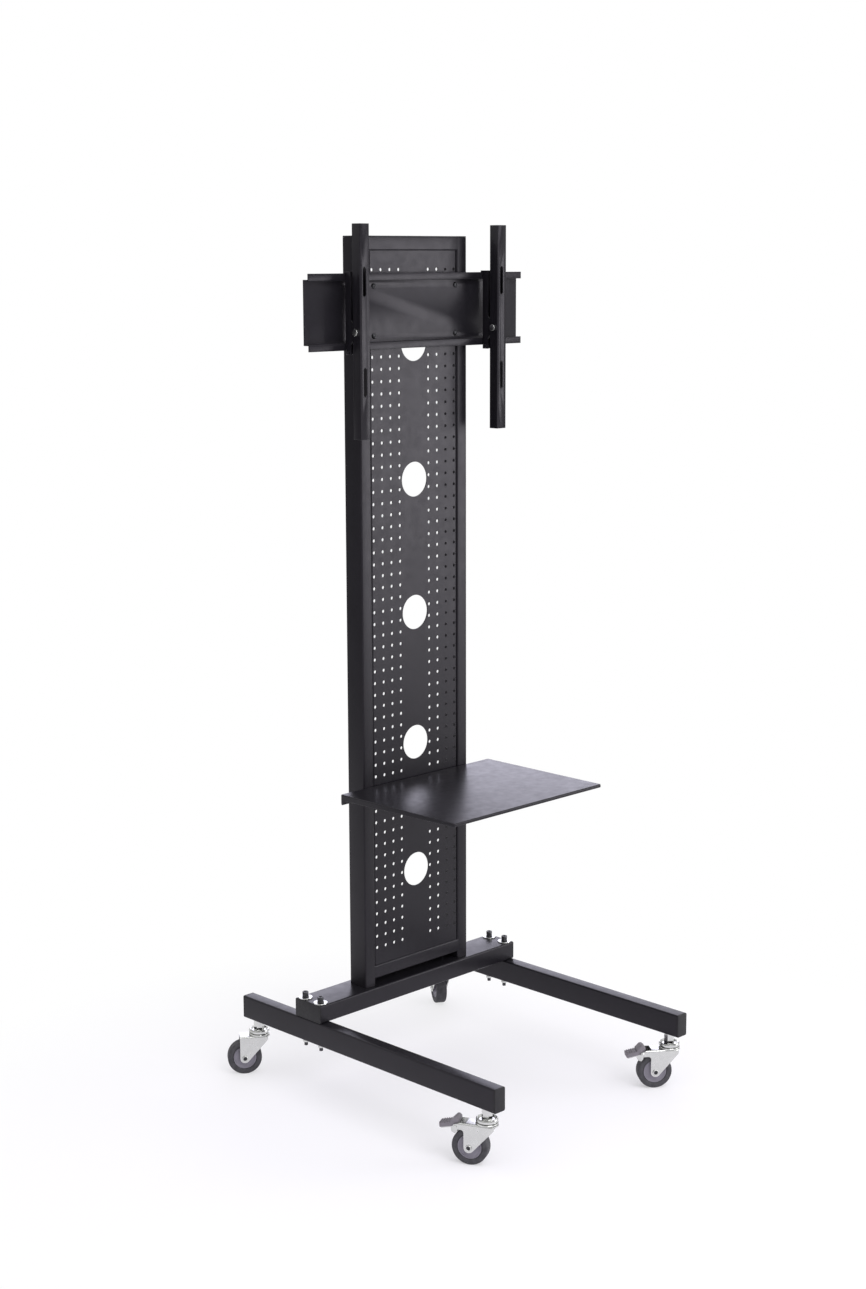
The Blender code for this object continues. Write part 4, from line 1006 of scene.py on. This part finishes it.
class STAND_OT_studio(bpy.types.Operator):
    """White floor and backdrop, soft lamps and the camera"""

    bl_idname = "stand.studio"
    bl_label = "Studio"

    def execute(self, context):
        self.backdrop()
        self.world(context.scene)
        self.lamps()
        self.camera(context.scene)
        context.scene.view_settings.view_transform = "Standard"
        return {"FINISHED"}

    def backdrop(self):
        """Floor that runs up into a wall, white to the camera but with the stand's shadow, and with a painted grey
        shade round the stand.
        """
        outline = [(6.0, 0.0)] + arc((-5.0, 1.5), 1.5, -math.pi / 2, -math.pi, 12) + [(-6.5, 9.0)]
        mesh = bmesh.new()
        rows = [[mesh.verts.new((x, y, z)) for x, z in outline] for y in (-3.2, 3.2)]
        for i in range(len(outline) - 1):
            mesh.faces.new((rows[0][i], rows[0][i + 1], rows[1][i + 1], rows[1][i]))
        bmesh.ops.recalc_face_normals(mesh, faces=mesh.faces)
        moved(mesh, Matrix.Rotation(math.radians(-135), 4, "Z"))
        floor = new_object("studio_floor", mesh)
        floor.data.shade_smooth()
        material, tree = new_material("white_paper")
        paper = added(tree, "ShaderNodeBsdfDiffuse", [("Color", (0.89, 0.87, 0.935, 1.0))])
        glow = added(tree, "ShaderNodeEmission", [("Color", (*WHITE, 1.0))])
        # The white glow falls from full strength at 1.3 m to 0.4 at 0.45 m from a point just in front of the
        # stand, so the lit paper shows more there: a painted shade round the stand, on top of the real shadow.
        place = added(tree, "ShaderNodeNewGeometry")
        away = added(tree, "ShaderNodeVectorMath", [
            (0, place.outputs["Position"]), (1, (-0.24, -0.28, 0.0))], operation="DISTANCE")
        share = calculated(tree, "MULTIPLY",
                           self.seen_directly(tree, ("Is Glossy Ray", "Is Transmission Ray")),
                           spread(tree, away.outputs["Value"], 0.45, 1.3, 0.4, 1.0))
        mix = added(tree, "ShaderNodeMixShader", [
            ("Fac", share), (1, paper.outputs["BSDF"]), (2, glow.outputs["Emission"])])
        added(tree, "ShaderNodeOutputMaterial", [("Surface", mix.outputs["Shader"])])
        floor.data.materials.append(material)

    def seen_directly(self, tree, kinds):
        """One for rays from the camera and for these other kinds of ray."""
        path = added(tree, "ShaderNodeLightPath")
        total = path.outputs["Is Camera Ray"]
        for name in kinds:
            total = calculated(tree, "MAXIMUM", total, path.outputs[name])
        return total

    def world(self, scene):
        """White surroundings for the camera, and a softer light that grows towards the ceiling."""
        world = bpy.data.worlds.new("white_room")
        scene.world = world
        world.use_nodes = True
        tree = world.node_tree
        background = tree.nodes["Background"]
        background.inputs["Color"].default_value = (*WHITE, 1.0)
        place = added(tree, "ShaderNodeTexCoord")
        parts = added(tree, "ShaderNodeSeparateXYZ", [("Vector", place.outputs["Generated"])])
        rise = spread(tree, parts.outputs["Z"], -0.1, 0.8, 0.25, 1.0)
        strength = calculated(tree, "MAXIMUM", rise,
                              self.seen_directly(tree, ("Is Transmission Ray",)))
        tree.links.new(strength, background.inputs["Strength"])

    def lamps(self):
        """Large soft lamps: high in front, low at the right, and behind for a sheen on the tops."""
        for name, place, size, power, colour in (
                ("key_lamp", (-0.6, -3.4, 3.6), 3.0, 98.0, WHITE),
                ("right_lamp", (3.7, -3.7, 1.2), 2.4, 86.0, WHITE),
                ("back_lamp", (3.1, 3.2, 1.9), 2.6, 33.0, (0.79, 0.77, 1.0))):
            lamp = bpy.data.lights.new(name, "AREA")
            lamp.shape = "SQUARE"
            lamp.size = size
            lamp.energy = power
            lamp.color = colour
            made = bpy.data.objects.new(name, lamp)
            made.location = place
            made.visible_camera = False
            aim = Vector((0.0, 0.0, 0.8)) - Vector(place)
            made.rotation_euler = aim.to_track_quat("-Z", "Y").to_euler()
            bpy.context.scene.collection.objects.link(made)

    def camera(self, scene):
        """Camera at the height and angle from which the stand is seen."""
        data = bpy.data.cameras.new("camera")
        data.sensor_fit = "VERTICAL"
        data.sensor_height = 36.0
        data.lens = 58.305
        data.clip_end = 60.0
        made = bpy.data.objects.new("camera", data)
        made.location = (-3.0943, -3.0289, 1.7629)
        made.rotation_euler = [math.radians(angle) for angle in (79.532, 0.193, -44.965)]
        scene.collection.objects.link(made)
        scene.camera = made


class STAND_PT_pieces(bpy.types.Panel):
    """Sizes, colours and the pieces of the stand"""

    bl_label = "Stand"
    bl_idname = "STAND_PT_pieces"
    bl_space_type = "VIEW_3D"
    bl_region_type = "UI"
    bl_category = "Stand"

    def draw(self, context):
        layout = self.layout
        for group in (context.scene.stand_sizes, context.scene.stand_colours):
            box = layout.box()
            for name in type(group).__annotations__:
                box.prop(group, name)
        for operator in OPERATORS:
            layout.operator(operator.bl_idname)


OPERATORS = (STAND_OT_feet, STAND_OT_column, STAND_OT_panel, STAND_OT_shelf, STAND_OT_bracket,
             STAND_OT_fasteners, STAND_OT_casters, STAND_OT_brakes, STAND_OT_studio)
CLASSES = (StandSizes, StandColours, *OPERATORS, STAND_PT_pieces)


def register():
    """Register the classes and hang the properties on the scene."""
    for entry in CLASSES:
        bpy.utils.register_class(entry)
    bpy.types.Scene.stand_sizes = bpy.props.PointerProperty(type=StandSizes)
    bpy.types.Scene.stand_colours = bpy.props.PointerProperty(type=StandColours)


def unregister():
    """Take the properties and classes away again."""
    del bpy.types.Scene.stand_sizes
    del bpy.types.Scene.stand_colours
    for entry in reversed(CLASSES):
        bpy.utils.unregister_class(entry)


def main():
    """Make every piece in order."""
    register()
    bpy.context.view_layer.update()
    bpy.ops.stand.feet()
    bpy.ops.stand.column()
    bpy.ops.stand.panel()
    bpy.ops.stand.shelf()
    bpy.ops.stand.bracket()
    bpy.ops.stand.fasteners()
    bpy.ops.stand.casters()
    bpy.ops.stand.brakes()
    bpy.ops.stand.studio()


if __name__ == "__main__":
    main()
